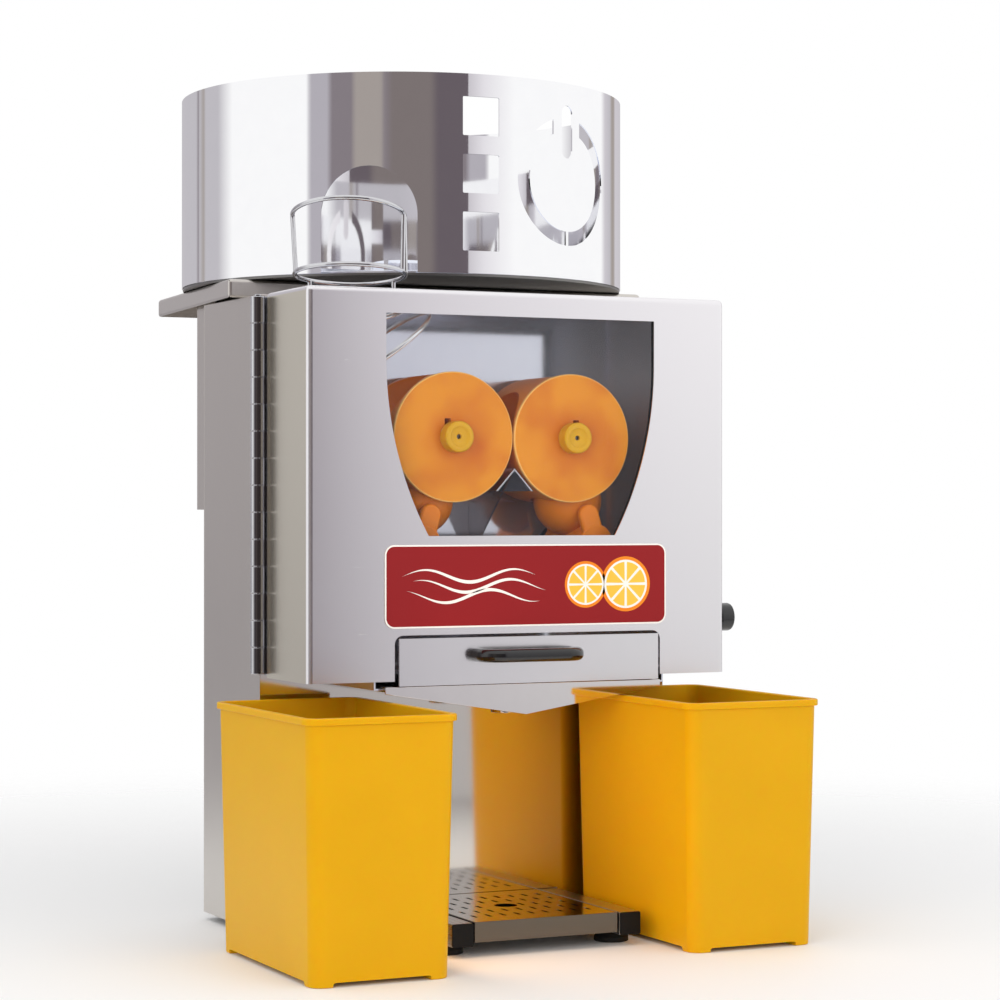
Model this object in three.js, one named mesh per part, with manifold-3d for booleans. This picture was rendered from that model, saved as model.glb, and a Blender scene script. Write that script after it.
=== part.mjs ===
import * as THREE from "three";
import { mergeVertices } from "three/addons/utils/BufferGeometryUtils.js";
import Module from "manifold-3d";

const wasm = await Module();
wasm.setup();

// An automatic orange juicer with a feeder drum on top, in millimetres, +Z up.
// X runs to the right as seen from the front and Y runs to the back. The places below are in the
// machine's own frame: x = 0 is the middle of the door, y = 0 its front face and z = 0 the worktop.
// The last lines move everything so that the origin is the middle of the outer box, on the worktop.

// Fits and sheet metal
const gap = 0.3; // left between pieces that touch
const overrun = 4; // how far a cut runs past the piece that it cuts
const turnGap = 0.6; // round a shaft that turns in a bore
const weld = 0.5; // how far joined parts of one piece run into each other
const sheet = 1.2; // thin stainless sheet
const plate = 2; // thicker stainless plate

// Column: the upright box that carries everything
const bodyWidth = 413.6;
const bodyHeadroom = 129.2; // from the upper shafts to the column's top
const columnFront = 117;
const columnBack = 268.6;
const columnBottom = 6.5;

// Base frame: two square tubes on four feet
const tubeSize = 20;
const tubeWall = 1.5;
const tubeSpacing = 164;
const tubeFront = -47.3;
const tubeInset = 6; // from the tube's rear end to the rear cover
const capHead = 1.8;
const capPlug = 14;
const footHeight = 10;
const footRadius = 15.5;
const footStem = 4;
const footStemRise = 6;
const frontFootInset = 35;
const rearFootInset = 16;
const crossbarDepth = 24;
const crossbarPlace = 22;

// Door
const doorDepth = 98.9;
const doorBottom = 237.9;
const doorLip = 12;
const windowTopMargin = 21.9;
const windowBottomMargin = 7.8; // from the label to the window
const windowWidth = 266;
const windowUpright = 40.3; // how far down from its top the window's sides are upright
const windowBendRadius = 317;
const paneThickness = 3;
const paneMargin = 12;
const labelWidth = 279.5;
const labelHeight = 73;
const labelBottom = 284.2;
const labelShift = 5;
const labelThickness = 0.8;
const labelCorner = 9;
const drawerHoleWidth = 264;
const drawerHoleTop = 278;
const drawerHoleShift = 7;
const drawerHoleCorner = 8;
const pullRadius = 13;
const pullHeight = 287.8;
const pullPlace = 25;
const pullHead = 13;
const pullNeck = 6;
const pullNeckRadius = 6;
const pullStud = 3;
const pullStudLength = 2;

// Piano hinge on the door's left side
const barrelRadius = 6.8;
const barrelBore = 2.2;
const hingePinRadius = 1.9;
const hingePinHead = 3.4;
const hingePinHeadHeight = 1.5;
const barrelOut = 5.5; // from the body's side to the barrel's middle
const hingeLine = 107; // the barrel's middle, behind the door's front face
const knuckleCount = 14;
const knuckleGap = 0.5;
const hingeEndInset = 3;
const leafSheet = 1.2;
const doorLeafWidth = 20;
const webThickness = 2.2;

// Chamber behind the door
const chamberBottom = 240;
const chamberTopDrop = 3.2; // from the body's top down to the chamber's top plate
const topPlateFront = 5;
const topPlateRight = 190;
const dropHoleX = -144.6;
const dropHoleY = 55;
const dropHoleRadius = 46;

// Squeezing rollers
const upperSpacing = 118; // between the two upper shafts
const upperRise = 206; // from the top of the drawer's sides to the upper shafts
const cupCount = 3; // cups on an upper drum
const ballCount = 2; // balls on a lower unit
const squeezeLean = 16.2; // degrees from straight down, from an upper shaft to its lower shaft
const cupRadius = 34.5;
const ballRadius = 31.5;
const rollClear = 1.5; // from an upper drum to the middle line
const rollFront = 24;
const rollBack = 100;
const discClear = 0.6; // from a front disc to the middle line
const discThickness = 3.7;
const shaftRadius = 9;
const shaftFront = 12;
const shaftBack = 146;
const knobRadius = 14;
const knobLength = 12.9;
const knobEye = 2.2;
const keySlot = 6;
const keySlotRise = 17;
const keySlotLean = 20; // degrees from straight up, outwards
const ballHubRadius = 16;
const ballArmWidth = 20;
const ballArmReach = 36;
const ballArmThickness = 8;
const ballHubFront = 23;
const ballHubBack = 101;

// Gear train and drive
const upperTeeth = 24;
const lowerTeeth = 16;
const gearFront = 131;
const gearThickness = 11;
const toothRise = 3.6;
const toothDrop = 5;
const toothRootShare = 0.62;
const toothTipShare = 0.22;
const bearingPlateThickness = 5;
const bearingPlateMargin = 30;
const bearingBoss = 16;
const bearingBossLength = 4;
const housingBore = 14;
const gearboxFront = 148;
const gearboxDepth = 90;
const gearboxWidth = 110;
const gearboxHeight = 96;
const gearboxSocket = 24;
const motorRadius = 44;
const motorLength = 146;
const motorSpigot = 20;
const motorSpigotRise = 12;
const shelfThickness = 3;
const shelfFlange = 20;
const shelfDepth = 96;

// Blade and the wires that guide the fruit
const bladeBelow = 27.7; // from the upper shafts down to the blade's edge
const bladeSpread = 37;
const bladeDrop = 20.4;
const bladeFront = 18;
const bladeWebDrop = 62.8; // from the blade's edge to the web's lower edge
const bladeWebFoot = 90; // the web's front edge slants back to here
const wireRadius = 2.1;
const guideHoleRing = 47;
const guideHoleRingDrop = 24.6; // below the chamber's top plate
const guideHoleRingTilt = 15.9; // degrees, up to the right
const guideRing = 48.6;
const guideRingX = -109.8;
const guideRingY = 58;
const guideRingDrop = 41.5; // below the chamber's top plate
const guideRingTilt = 38; // degrees, up to the right
const guideLinkAngles = [120, 180, 235]; // degrees round both rings

// Strainer drawer and juice tray, and the rails that they slide on
const drawerBottom = 233.6;
const drawerTop = 275.3;
const drawerSideGap = 3;
const drawerProud = 2.5; // in front of the door's face
const drawerSideTop = 247;
const drawerFlange = 7;
const drawerBack = 108;
const handleLength = 105;
const handleReach = 30;
const handleThickness = 12;
const handleDrop = 15.7; // from the top of the drawer's front plate to the middle of the handle
const handleCorner = 15;
const handleShift = 0;
const strainerRim = 12;
const strainerSeat = 4;
const strainerSlotLength = 14;
const strainerSlotWidth = 4;
const strainerPitchX = 24;
const strainerPitchY = 22;
const juiceTrayWidth = 273;
const juiceTrayShift = 2.6;
const juiceTrayTop = 233;
const juiceTrayEdge = 227;
const juiceTrayVertex = 205.4;
const juiceTrayInset = 9; // the pan is narrower than its front wall by this on each side
const juiceTrayBack = 112;
const spoutRadius = 11;
const spoutWall = 1.6;
const spoutPlace = 48;
const spoutDrop = 1.5;
const spoutRise = 4;
const railPlate = 1.5;
const railReach = 144; // from the juice tray's middle to the rail's outer face
const railLedge = 12;
const railFront = 8;
const railGap = 0.6;
const railRise = 12; // above the chamber's lower edge

// Drip tray and grille
const dripTrayClear = 2; // between the tray and the leg on each side
const dripTrayBottom = 13;
const dripTrayTop = 30.6;
const dripTrayLedge = 4;
const grilleThickness = 1.5;
const grilleSlotLength = 14;
const grilleSlotWidth = 3;
const grillePitchX = 14;
const grillePitchY = 25;
const grilleRim = 6;
const grilleHoleRadius = 10.5;
const grilleHolePlace = 33.5;
const grilleHoleX = -1.5;

// Peel bins
const binWidth = 123.6;
const binDepth = 215.8;
const binHeight = 219.3;
const binDraft = 4; // each side leans out by this over the height
const binWall = 2.5;
const binCorner = 12;
const binRim = 3;
const binRimHeight = 5.8;
const binFoot = 18;
const binFootRise = 4;
const leftBinX = -192.3;
const leftBinY = -24;
const rightBinX = 171.7;
const rightBinY = -4;

// Feeder: saddle, support, drum and rotor
const drumRadius = 215;
const drumWall = 1.5;
const drumMiddle = 273.3;
const drumRise = 2.7; // from the saddle's top to the drum wall's lower edge
const drumHeight = 181.8;
const drumSides = 72;
const drumFloorInset = 1;
const saddleRise = 18.3; // from the column's top to the saddle's top
const saddleFront = 177;
const saddleBack = 451;
const saddleRearWidth = 384; // the saddle narrows to this at its back
const supportWidth = 390;
const supportDepth = 53;
const supportDrop = 194.2; // from the column's top to the support's lower edge
const feedMotorRadius = 26;
const feedMotorLength = 74;
const feedGearRadius = 33;
const feedGearHeight = 34;
const feedGearClear = 1.2;
const rotorShaftRadius = 6;
const rotorSocket = 22;
const rotorDiscRadius = 203;
const rotorDiscThickness = 2;
const rotorFloat = 1; // between the drum's floor and the rotor's disc
const rotorHubRadius = 32;
const rotorHubHeight = 26;
const rotorFinCount = 6;
const rotorFinReach = 128;
const rotorFinHeight = 17;
const rotorFinThickness = 4;

// Openings in the drum's wall, each at an angle from straight ahead, positive to the right.
// Their rises are measured from the wall's lower edge.
const archAngle = -31.5;
const archHalfWidth = 44.3;
const archRise = 96.8;
const squareAngle = -3.7;
const squareSize = 35.5;
const squareCount = 3;
const squareRise = 38.4;
const squarePitch = 52.5;
const ringAngle = 22.3;
const ringRise = 90.3;
const ringRadius = 59.5;
const ringBand = 13;
const ringGapHalf = 18.2;
const ringBridge = 3.6;
const stemWidth = 15;
const stemRise = 112.1;
const stemLength = 49.1;

// Cage over the drop hole
const cageRadius = 49.2;
const cageRise = 15.3; // from the column's top to the ring's middle
const cageTilt = 5.7; // degrees, up to the front
const cageHeading = -25; // degrees from straight ahead, positive to the right
const hoopRadius = 49.7;
const hoopShift = 1.6; // to the left of the ring
const hoopRise = 51.8; // from the ring's middle to the hoop's middle
const hoopTilt = 12.7;
const cageUprightAngles = [[195, 180], [343, 352], [360, 360]]; // degrees round the ring and the hoop
const cageLegAngles = [40, 90, 140]; // degrees round the ring

// Controls and mains inlet
const controlWidth = 50;
const controlHeight = 100;
const controlPlace = 195;
const controlDrop = 107.2; // from the column's top to the panel's middle
const controlThickness = 2.5;
const controlHoleInset = 5;
const collarRadius = 15;
const collarProud = 2;
const collarDepth = 12;
const buttonRadius = 11;
const buttonSpacing = 44;
const buttonProud = 7;
const inletWidth = 50;
const inletHeight = 30;
const inletX = 130;
const inletZ = 70;
const inletProud = 3;
const inletDepth = 22;
const inletFlange = 6;
const inletSocketInset = 8;
const inletSocketDepth = 16;
const ventPairs = 5;
const ventLength = 120;
const ventWidth = 6;
const ventPitch = 18;
const ventLowest = 290;

// Places that follow from the sizes above
const half = bodyWidth / 2;
const upperHeight = drawerSideTop + upperRise;
const bodyTop = upperHeight + bodyHeadroom;
const bladeApex = upperHeight - bladeBelow;
const bladeWebBottom = bladeApex - bladeWebDrop;
const tubeBottom = footHeight + gap;
const tubeTop = tubeBottom + tubeSize;
const tubeX = tubeSpacing / 2;
const deckTop = tubeTop + gap + sheet;
const coverFront = columnBack - sheet;
const tubeBack = coverFront - tubeInset;
const frameHalf = half - sheet - gap - leafSheet - gap;
const frameBack = columnFront - gap;
const frameFront = frameBack - plate;
const chamberTop = bodyTop - chamberTopDrop;
const hingeX = -half - barrelOut;
const hingeBottom = doorBottom + hingeEndInset;
const hingeTop = bodyTop - hingeEndInset;
const upperX = upperSpacing / 2;
const rollRadius = upperX - rollClear;
const discRadius = upperX - discClear;
const upperPitch = upperSpacing / 2;
const lowerPitch = (upperPitch * lowerTeeth) / upperTeeth;
const lean = THREE.MathUtils.degToRad(squeezeLean);
const lowerX = upperX + (upperPitch + lowerPitch) * Math.sin(lean);
const lowerHeight = upperHeight - (upperPitch + lowerPitch) * Math.cos(lean);
const cupMiddle = (rollFront + rollBack) / 2;
const bearingFront = columnFront + sheet + gap;
const drawerLeft = drawerHoleShift - drawerHoleWidth / 2 + drawerSideGap;
const drawerRight = drawerHoleShift + drawerHoleWidth / 2 - drawerSideGap;
const drawerInnerLeft = drawerLeft + drawerFlange;
const drawerInnerRight = drawerRight - drawerFlange;
const controlMiddle = bodyTop - controlDrop;
const saddleBottom = bodyTop + gap;
const saddleTop = bodyTop + saddleRise;
const drumBottom = saddleTop + drumRise;
const drumTop = drumBottom + drumHeight;
const archTop = drumBottom + archRise;
const squareLowest = drumBottom + squareRise;
const ringHeight = drumBottom + ringRise;
const stemBottom = drumBottom + stemRise;
const stemTop = stemBottom + stemLength;
const cageHeight = bodyTop + cageRise;
const hoopHeight = cageHeight + hoopRise;
const supportBottom = bodyTop - supportDrop;
const drumFloorTop = drumBottom - gap;
const supportTop = saddleTop - sheet - gap;
const gearboxBottom = upperHeight - gearboxHeight / 2;
const shelfTop = gearboxBottom - gap;
const motorY = gearboxFront + gearboxDepth / 2;
const windowSideX = windowWidth / 2;
const dripTrayWidth = tubeSpacing - tubeSize - 2 * dripTrayClear;
const windowTop = bodyTop - windowTopMargin;
const windowBottom = labelBottom + labelHeight + windowBottomMargin;
const windowBend = windowTop - windowUpright;
const handleHeight = drawerTop - handleDrop;

// Materials
const metalOf = (color, roughness) => new THREE.MeshStandardMaterial({ color, roughness, metalness: 1 });
const plasticOf = (color, roughness) => new THREE.MeshStandardMaterial({ color, roughness, metalness: 0 });
const satinSteel = metalOf(0xc9c6c7, 0.35);
const mirrorSteel = metalOf(0xd6d4d6, 0.08);
const chrome = metalOf(0xdddddf, 0.05);
const darkSteel = metalOf(0x8b8987, 0.4);
const castAlloy = metalOf(0x9a9c9f, 0.55);
const binPlastic = plasticOf(0xedbb1c, 0.35);
const rollerPlastic = plasticOf(0xe28a2e, 0.5);
const knobPlastic = plasticOf(0xddb020, 0.4);
const blackPlastic = plasticOf(0x141416, 0.3);
const blackRubber = plasticOf(0x1a1a1a, 0.85);
const gearPlastic = plasticOf(0xe8e4d8, 0.5);
const labelRed = plasticOf(0x8b1519, 0.4);
const buttonGreen = plasticOf(0x1f8a3c, 0.4);
const buttonRed = plasticOf(0xb3201c, 0.4);
const clearPane = new THREE.MeshStandardMaterial({
  color: 0xd8dcdf,
  roughness: 0.05,
  transparent: true,
  opacity: 0.3,
});

// A closed three.js geometry as a solid that can be joined and cut.
function solidOf(geometry) {
  const bare = geometry.clone();
  bare.deleteAttribute("normal");
  bare.deleteAttribute("uv");
  const merged = mergeVertices(bare);
  return new wasm.Manifold(
    new wasm.Mesh({
      numProp: 3,
      vertProperties: new Float32Array(merged.attributes.position.array),
      triVerts: new Uint32Array(merged.index.array),
    }),
  );
}

// A finished solid as a named mesh.
const machine = new THREE.Group();
function put(name, material, solid) {
  const made = solid.getMesh();
  const geometry = new THREE.BufferGeometry();
  geometry.setAttribute("position", new THREE.BufferAttribute(made.vertProperties, made.numProp));
  geometry.setIndex(new THREE.BufferAttribute(made.triVerts, 1));
  geometry.computeVertexNormals();
  const mesh = new THREE.Mesh(geometry, material);
  mesh.name = name;
  machine.add(mesh);
}

const join = (...solids) => solids.reduce((all, next) => all.add(next));
const cut = (solid, ...tools) => tools.reduce((rest, tool) => rest.subtract(tool), solid);

// A box between two corners, given as a pair for each axis.
function box([x0, x1], [y0, y1], [z0, z1]) {
  const geometry = new THREE.BoxGeometry(x1 - x0, y1 - y0, z1 - z0);
  return solidOf(geometry.translate((x0 + x1) / 2, (y0 + y1) / 2, (z0 + z1) / 2));
}

// A span of a given size around a middle.
const around = (middle, size) => [middle - size / 2, middle + size / 2];

// Round bars along each axis.
function barX(radius, [x0, x1], y, z, sides = 24) {
  const geometry = new THREE.CylinderGeometry(radius, radius, x1 - x0, sides);
  return solidOf(geometry.rotateZ(Math.PI / 2).translate((x0 + x1) / 2, y, z));
}
function barY(radius, x, [y0, y1], z, sides = 24) {
  const geometry = new THREE.CylinderGeometry(radius, radius, y1 - y0, sides);
  return solidOf(geometry.translate(x, (y0 + y1) / 2, z));
}
function barZ(radius, x, y, [z0, z1], sides = 24) {
  const geometry = new THREE.CylinderGeometry(radius, radius, z1 - z0, sides);
  return solidOf(geometry.rotateX(Math.PI / 2).translate(x, y, (z0 + z1) / 2));
}

// An outline drawn in Y and Z, run along X.
function runX(shape, [x0, x1]) {
  const geometry = new THREE.ExtrudeGeometry(shape, { depth: x1 - x0, bevelEnabled: false });
  return solidOf(geometry.rotateX(Math.PI / 2).rotateZ(Math.PI / 2).translate(x0, 0, 0));
}

// An outline drawn in X and Z, run along Y.
function runY(shape, [y0, y1], curveSegments = 4) {
  const geometry = new THREE.ExtrudeGeometry(shape, { depth: y1 - y0, bevelEnabled: false, curveSegments });
  return solidOf(geometry.rotateX(Math.PI / 2).translate(0, y1, 0));
}

// An outline drawn in X and Y, run up Z.
function runZ(shape, [z0, z1], curveSegments = 8) {
  const geometry = new THREE.ExtrudeGeometry(shape, { depth: z1 - z0, bevelEnabled: false, curveSegments });
  return solidOf(geometry.translate(0, 0, z0));
}

const polygon = (points) => new THREE.Shape(points.map(([u, v]) => new THREE.Vector2(u, v)));

// A slot with bevelled ends, long in its first direction.
function slotOutline([u0, u1], [v0, v1]) {
  const bevel = (v1 - v0) / 2;
  const middle = (v0 + v1) / 2;
  return polygon([
    [u0, middle],
    [u0 + bevel, v0],
    [u1 - bevel, v0],
    [u1, middle],
    [u1 - bevel, v1],
    [u0 + bevel, v1],
  ]);
}

// A rectangle with round corners.
function rounded([u0, u1], [v0, v1], radius) {
  const shape = new THREE.Shape();
  shape.moveTo(u0 + radius, v0);
  shape.lineTo(u1 - radius, v0);
  shape.absarc(u1 - radius, v0 + radius, radius, -Math.PI / 2, 0);
  shape.absarc(u1 - radius, v1 - radius, radius, 0, Math.PI / 2);
  shape.absarc(u0 + radius, v1 - radius, radius, Math.PI / 2, Math.PI);
  shape.absarc(u0 + radius, v0 + radius, radius, Math.PI, 1.5 * Math.PI);
  return shape;
}

// The four shaft places: side is -1 on the left and 1 on the right.
const shaftPlaces = [-1, 1].flatMap((side) => [
  [side * upperX, upperHeight],
  [side * lowerX, lowerHeight],
]);

// Holes for the four shafts through a wall.
const shaftHoles = (radius, span) => shaftPlaces.map(([x, z]) => barY(radius, x, span, z, 12));

// Column: an upright sheet box, open at the back, with a deck that stands on the base tubes.
function columnHousing() {
  const inner = [-half + sheet, half - sheet];
  const inside = [columnFront + sheet, columnBack + overrun];
  const wall = [columnFront - overrun, columnFront + sheet + overrun];
  let solid = cut(
    box([-half, half], [columnFront, coverFront - gap], [columnBottom, bodyTop]),
    box(inner, inside, [deckTop, bodyTop - sheet]),
    box(inner, inside, [columnBottom - overrun, deckTop - sheet]),
    ...shaftHoles(housingBore, wall),
  );
  for (const side of [-1, 1]) {
    const tubeHole = around(side * tubeX, tubeSize + 2 * gap);
    solid = cut(solid, box(tubeHole, wall, [columnBottom - overrun, tubeTop + gap]));
  }
  const notch = around(0, 2 * (feedGearRadius + feedGearClear));
  const notchY = [drumMiddle - feedGearRadius - feedGearClear, columnBack + overrun];
  solid = cut(solid, box(notch, notchY, [bodyTop - sheet - overrun, bodyTop + overrun]));
  const controlHole = box(
    [half - sheet - overrun, half + overrun],
    around(controlPlace, controlWidth - 2 * controlHoleInset),
    around(controlMiddle, controlHeight - 2 * controlHoleInset),
  );
  return cut(solid, controlHole);
}

// Rear cover: the removable back of the column, with vents, the inlet's opening and the feeder's notch.
function rearCover() {
  const wall = [coverFront - overrun, columnBack + overrun];
  let solid = cut(
    box([-half, half], [coverFront, columnBack], [columnBottom, bodyTop]),
    box(
      around(0, 2 * (feedGearRadius + feedGearClear)),
      wall,
      [supportTop - feedGearHeight - feedMotorLength - feedGearRadius, bodyTop + overrun],
    ),
    box(around(inletX, inletWidth), wall, around(inletZ, inletHeight)),
  );
  for (let row = 0; row < ventPairs; row++)
    for (const side of [-1, 1]) {
      const middle = side * (ventLength / 2 + ventPitch);
      const slot = slotOutline(around(middle, ventLength), around(ventLowest + row * ventPitch, ventWidth));
      solid = cut(solid, runY(slot, wall));
    }
  return solid;
}

// Leg: a square tube that runs from the front of the drip tray to the back of the column.
function leg(side) {
  const x = side * tubeX;
  const inside = tubeSize - 2 * tubeWall;
  const middle = tubeBottom + tubeSize / 2;
  const tube = cut(
    box(around(x, tubeSize), [tubeFront, tubeBack], [tubeBottom, tubeTop]),
    box(around(x, inside), [tubeFront - overrun, tubeBack + overrun], around(middle, inside)),
  );
  const holes = [tubeFront + frontFootInset, tubeBack - rearFootInset].map((y) =>
    barZ(footStem + gap, x, y, [tubeBottom - overrun, tubeBottom + tubeWall + gap], 16),
  );
  return cut(tube, ...holes);
}

// End cap: a black plug with a rounded head in the front end of a leg.
function legCap(side) {
  const x = side * tubeX;
  const plug = tubeSize - 2 * tubeWall - 2 * gap;
  const middle = tubeBottom + tubeSize / 2;
  const head = [tubeFront - gap - capHead, tubeFront - gap];
  return join(
    runY(rounded(around(x, tubeSize), around(middle, tubeSize), tubeWall), head, 3),
    box(around(x, plug), [tubeFront - gap - weld, tubeFront + capPlug], around(middle, plug)),
  );
}

// Levelling foot: a rubber disc on a stem that goes up into its leg.
function foot(side, y) {
  const rimShare = 0.45;
  const waistShare = 0.66;
  const profile = [
    [0, 0],
    [footRadius, 0],
    [footRadius, footHeight * rimShare],
    [footRadius * waistShare, footHeight],
    [footStem, footHeight],
    [footStem, footHeight + footStemRise],
    [0, footHeight + footStemRise],
  ].map(([r, z]) => new THREE.Vector2(r, z));
  const geometry = new THREE.LatheGeometry(profile, 16).rotateX(Math.PI / 2);
  return solidOf(geometry.translate(side * tubeX, y, 0));
}

// Crossbar: a flat bar between the legs, under the drip tray.
function crossbar() {
  const inner = tubeSpacing - tubeSize - 2 * gap;
  return box(around(0, inner), around(crossbarPlace, crossbarDepth), [tubeBottom, dripTrayBottom - gap]);
}

// A slide rail: an upright web with a ledge for the juice tray and one for the strainer drawer.
function rail(side, drawerEdge) {
  const span = [railFront, frameFront + weld];
  const outer = juiceTrayShift + side * railReach;
  const web = [outer, outer - side * railPlate].sort((a, b) => a - b);
  const trayEdge = outer - side * (railReach - juiceTrayWidth / 2 + railLedge / 2);
  const lower = juiceTrayTop - sheet - gap;
  const upper = drawerSideTop - sheet - gap;
  return join(
    box(web, span, [lower - railPlate, chamberBottom + railRise]),
    box([outer, trayEdge].sort((a, b) => a - b), span, [lower - railPlate, lower]),
    box([outer, drawerEdge].sort((a, b) => a - b), span, [upper - railPlate, upper]),
  );
}

// Chamber frame: the back plate, short side flanges, the top plate with its drop hole, and both rails.
function chamberFrame() {
  const back = [frameFront, frameBack];
  const upright = [chamberBottom, chamberTop];
  const flange = [doorDepth + sheet, frameBack];
  const top = [chamberTop - plate, chamberTop];
  const dropHole = barZ(dropHoleRadius, dropHoleX, dropHoleY, [top[0] - overrun, top[1] + overrun], 32);
  return cut(
    join(
      box([-frameHalf, frameHalf], back, upright),
      box([-frameHalf, -frameHalf + plate], flange, upright),
      box([frameHalf - plate, frameHalf], flange, upright),
      box([-frameHalf, topPlateRight], [topPlateFront, frameBack], top),
      box([topPlateRight - weld, frameHalf], flange, top),
      rail(-1, drawerInnerLeft - railGap),
      rail(1, drawerInnerRight + railGap),
    ),
    dropHole,
    ...shaftHoles(housingBore, [frameFront - overrun, frameBack + overrun]),
  );
}

// Blade: a bent sheet with its edge up between the drums, on a web whose front edge slants back.
function wedgeBlade() {
  const back = frameFront - gap;
  const foldWidth = bladeSpread / 2;
  const wingBottom = bladeApex - bladeDrop;
  const wing = polygon([
    [0, bladeApex],
    [-foldWidth, wingBottom],
    [-foldWidth + plate, wingBottom],
    [0, bladeApex - plate],
    [foldWidth - plate, wingBottom],
    [foldWidth, wingBottom],
  ]);
  const web = polygon([
    [bladeFront + plate, bladeApex - sheet],
    [bladeWebFoot, bladeWebBottom],
    [back, bladeWebBottom],
    [back, bladeApex - sheet],
  ]);
  return join(runY(wing, [bladeFront, back]), runX(web, around(0, plate)));
}

// A straight wire between two points.
function straightWire(from, to) {
  const along = new THREE.Vector3().subVectors(to, from);
  const geometry = new THREE.CylinderGeometry(wireRadius, wireRadius, along.length(), 5);
  const turn = new THREE.Quaternion().setFromUnitVectors(new THREE.Vector3(0, 1, 0), along.normalize());
  const middle = new THREE.Vector3().addVectors(from, to).divideScalar(2);
  return solidOf(geometry.applyQuaternion(turn).translate(middle.x, middle.y, middle.z));
}

// A ring in space: its middle and radius, its tilts about X and Y and its turn about Z, all in degrees.
// The at function gives the point at an angle round it.
function ringPlace(radius, x, y, z, tiltX, tiltY, heading) {
  const degrees = THREE.MathUtils.degToRad;
  const matrix = new THREE.Matrix4()
    .makeTranslation(x, y, z)
    .multiply(new THREE.Matrix4().makeRotationZ(degrees(heading)))
    .multiply(new THREE.Matrix4().makeRotationY(degrees(tiltY)))
    .multiply(new THREE.Matrix4().makeRotationX(degrees(tiltX)));
  const at = (angle) => {
    const turn = degrees(angle);
    return new THREE.Vector3(Math.cos(turn), Math.sin(turn), 0).multiplyScalar(radius).applyMatrix4(matrix);
  };
  return { radius, matrix, at };
}

// A closed ring of wire.
function ringWire(ring) {
  return solidOf(new THREE.TorusGeometry(ring.radius, wireRadius, 6, 20).applyMatrix4(ring.matrix));
}

// A part of a ring of wire, between two angles in degrees.
function arcWire(ring, from, to) {
  const steps = 8;
  const points = Array.from({ length: steps + 1 }, (_, i) => ring.at(from + ((to - from) * i) / steps));
  const section = new THREE.Shape();
  section.absarc(0, 0, wireRadius, 0, 2 * Math.PI);
  const extrudePath = new THREE.CatmullRomCurve3(points);
  const options = { steps: 2 * steps, curveSegments: 3, bevelEnabled: false, extrudePath };
  return solidOf(new THREE.ExtrudeGeometry(section, options));
}

// Guide: a ring under the drop hole and a steeper one below it that turns the fruit to the drums.
function feedGuide() {
  const under = chamberTop - plate;
  const topZ = under - guideHoleRingDrop;
  const topRing = ringPlace(guideHoleRing, dropHoleX, dropHoleY, topZ, 0, -guideHoleRingTilt, 0);
  const lowZ = under - guideRingDrop;
  const lowRing = ringPlace(guideRing, guideRingX, guideRingY, lowZ, 0, -guideRingTilt, 0);
  const solids = [ringWire(topRing), ringWire(lowRing)];
  for (const angle of guideLinkAngles) {
    const from = topRing.at(angle);
    solids.push(straightWire(from, lowRing.at(angle)));
    solids.push(straightWire(from, from.clone().setZ(under - gap)));
  }
  return join(...solids);
}

// Hinge leaf with its knuckles: the door's leaf has the even ones and the column's leaf the odd ones.
function hingeLeaf(leafY, webY, first) {
  const pitch = (hingeTop - hingeBottom) / knuckleCount;
  const leafOuter = -half + sheet + gap;
  const leaf = [leafOuter, leafOuter + leafSheet];
  const webSpan = [hingeX, leaf[1]];
  const solids = [box(leaf, leafY, [hingeBottom, hingeTop])];
  for (let k = first; k < knuckleCount; k += 2) {
    const span = [hingeBottom + k * pitch + knuckleGap / 2, hingeBottom + (k + 1) * pitch - knuckleGap / 2];
    solids.push(barZ(barrelRadius, hingeX, hingeLine, span, 8), box(webSpan, webY, span));
  }
  return cut(
    join(...solids),
    barZ(barrelBore, hingeX, hingeLine, [hingeBottom - overrun, hingeTop + overrun], 8),
  );
}

function hingePin() {
  const top = hingeTop + gap;
  return join(
    barZ(hingePinRadius, hingeX, hingeLine, [hingeBottom, top + weld], 12),
    barZ(hingePinHead, hingeX, hingeLine, [top, top + hingePinHeadHeight], 16),
  );
}

// The window's outline, grown on all sides by a margin.
function windowOutline(margin) {
  const side = windowSideX + margin;
  const radius = windowBendRadius + margin;
  const bottom = windowBottom - margin;
  const centre = side - radius;
  const sweep = Math.asin((windowBend - bottom) / radius);
  const shape = new THREE.Shape();
  shape.moveTo(-side, windowTop + margin);
  shape.lineTo(-side, windowBend);
  shape.absarc(-centre, windowBend, radius, Math.PI, Math.PI + sweep);
  shape.absarc(centre, windowBend, radius, -sweep, 0);
  shape.lineTo(side, windowTop + margin);
  return shape;
}

// Door: a folded sheet shell with the window and the cut-out for the strainer drawer.
function doorShell() {
  const through = [-overrun, sheet + overrun];
  const inner = half - sheet;
  const lip = half - doorLip;
  const hole = rounded(
    around(drawerHoleShift, drawerHoleWidth),
    [doorBottom - overrun - drawerHoleCorner, drawerHoleTop],
    drawerHoleCorner,
  );
  return cut(
    box([-half, half], [0, doorDepth], [doorBottom, bodyTop]),
    box([-inner, inner], [sheet, doorDepth + overrun], [doorBottom - overrun, bodyTop - sheet]),
    box([-lip, lip], [doorLip, doorDepth + overrun], [bodyTop - sheet - overrun, bodyTop + overrun]),
    runY(windowOutline(0), through, 10),
    runY(hole, through, 4),
    barX(pullStud + gap, [inner - overrun, half + overrun], pullPlace, pullHeight, 16),
  );
}

function windowPane() {
  const front = sheet + gap;
  return runY(windowOutline(paneMargin), [front, front + paneThickness], 10);
}

function labelPlate() {
  const height = [labelBottom, labelBottom + labelHeight];
  const outline = rounded(around(labelShift, labelWidth), height, labelCorner);
  return runY(outline, [-gap - labelThickness, -gap], 5);
}

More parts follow.
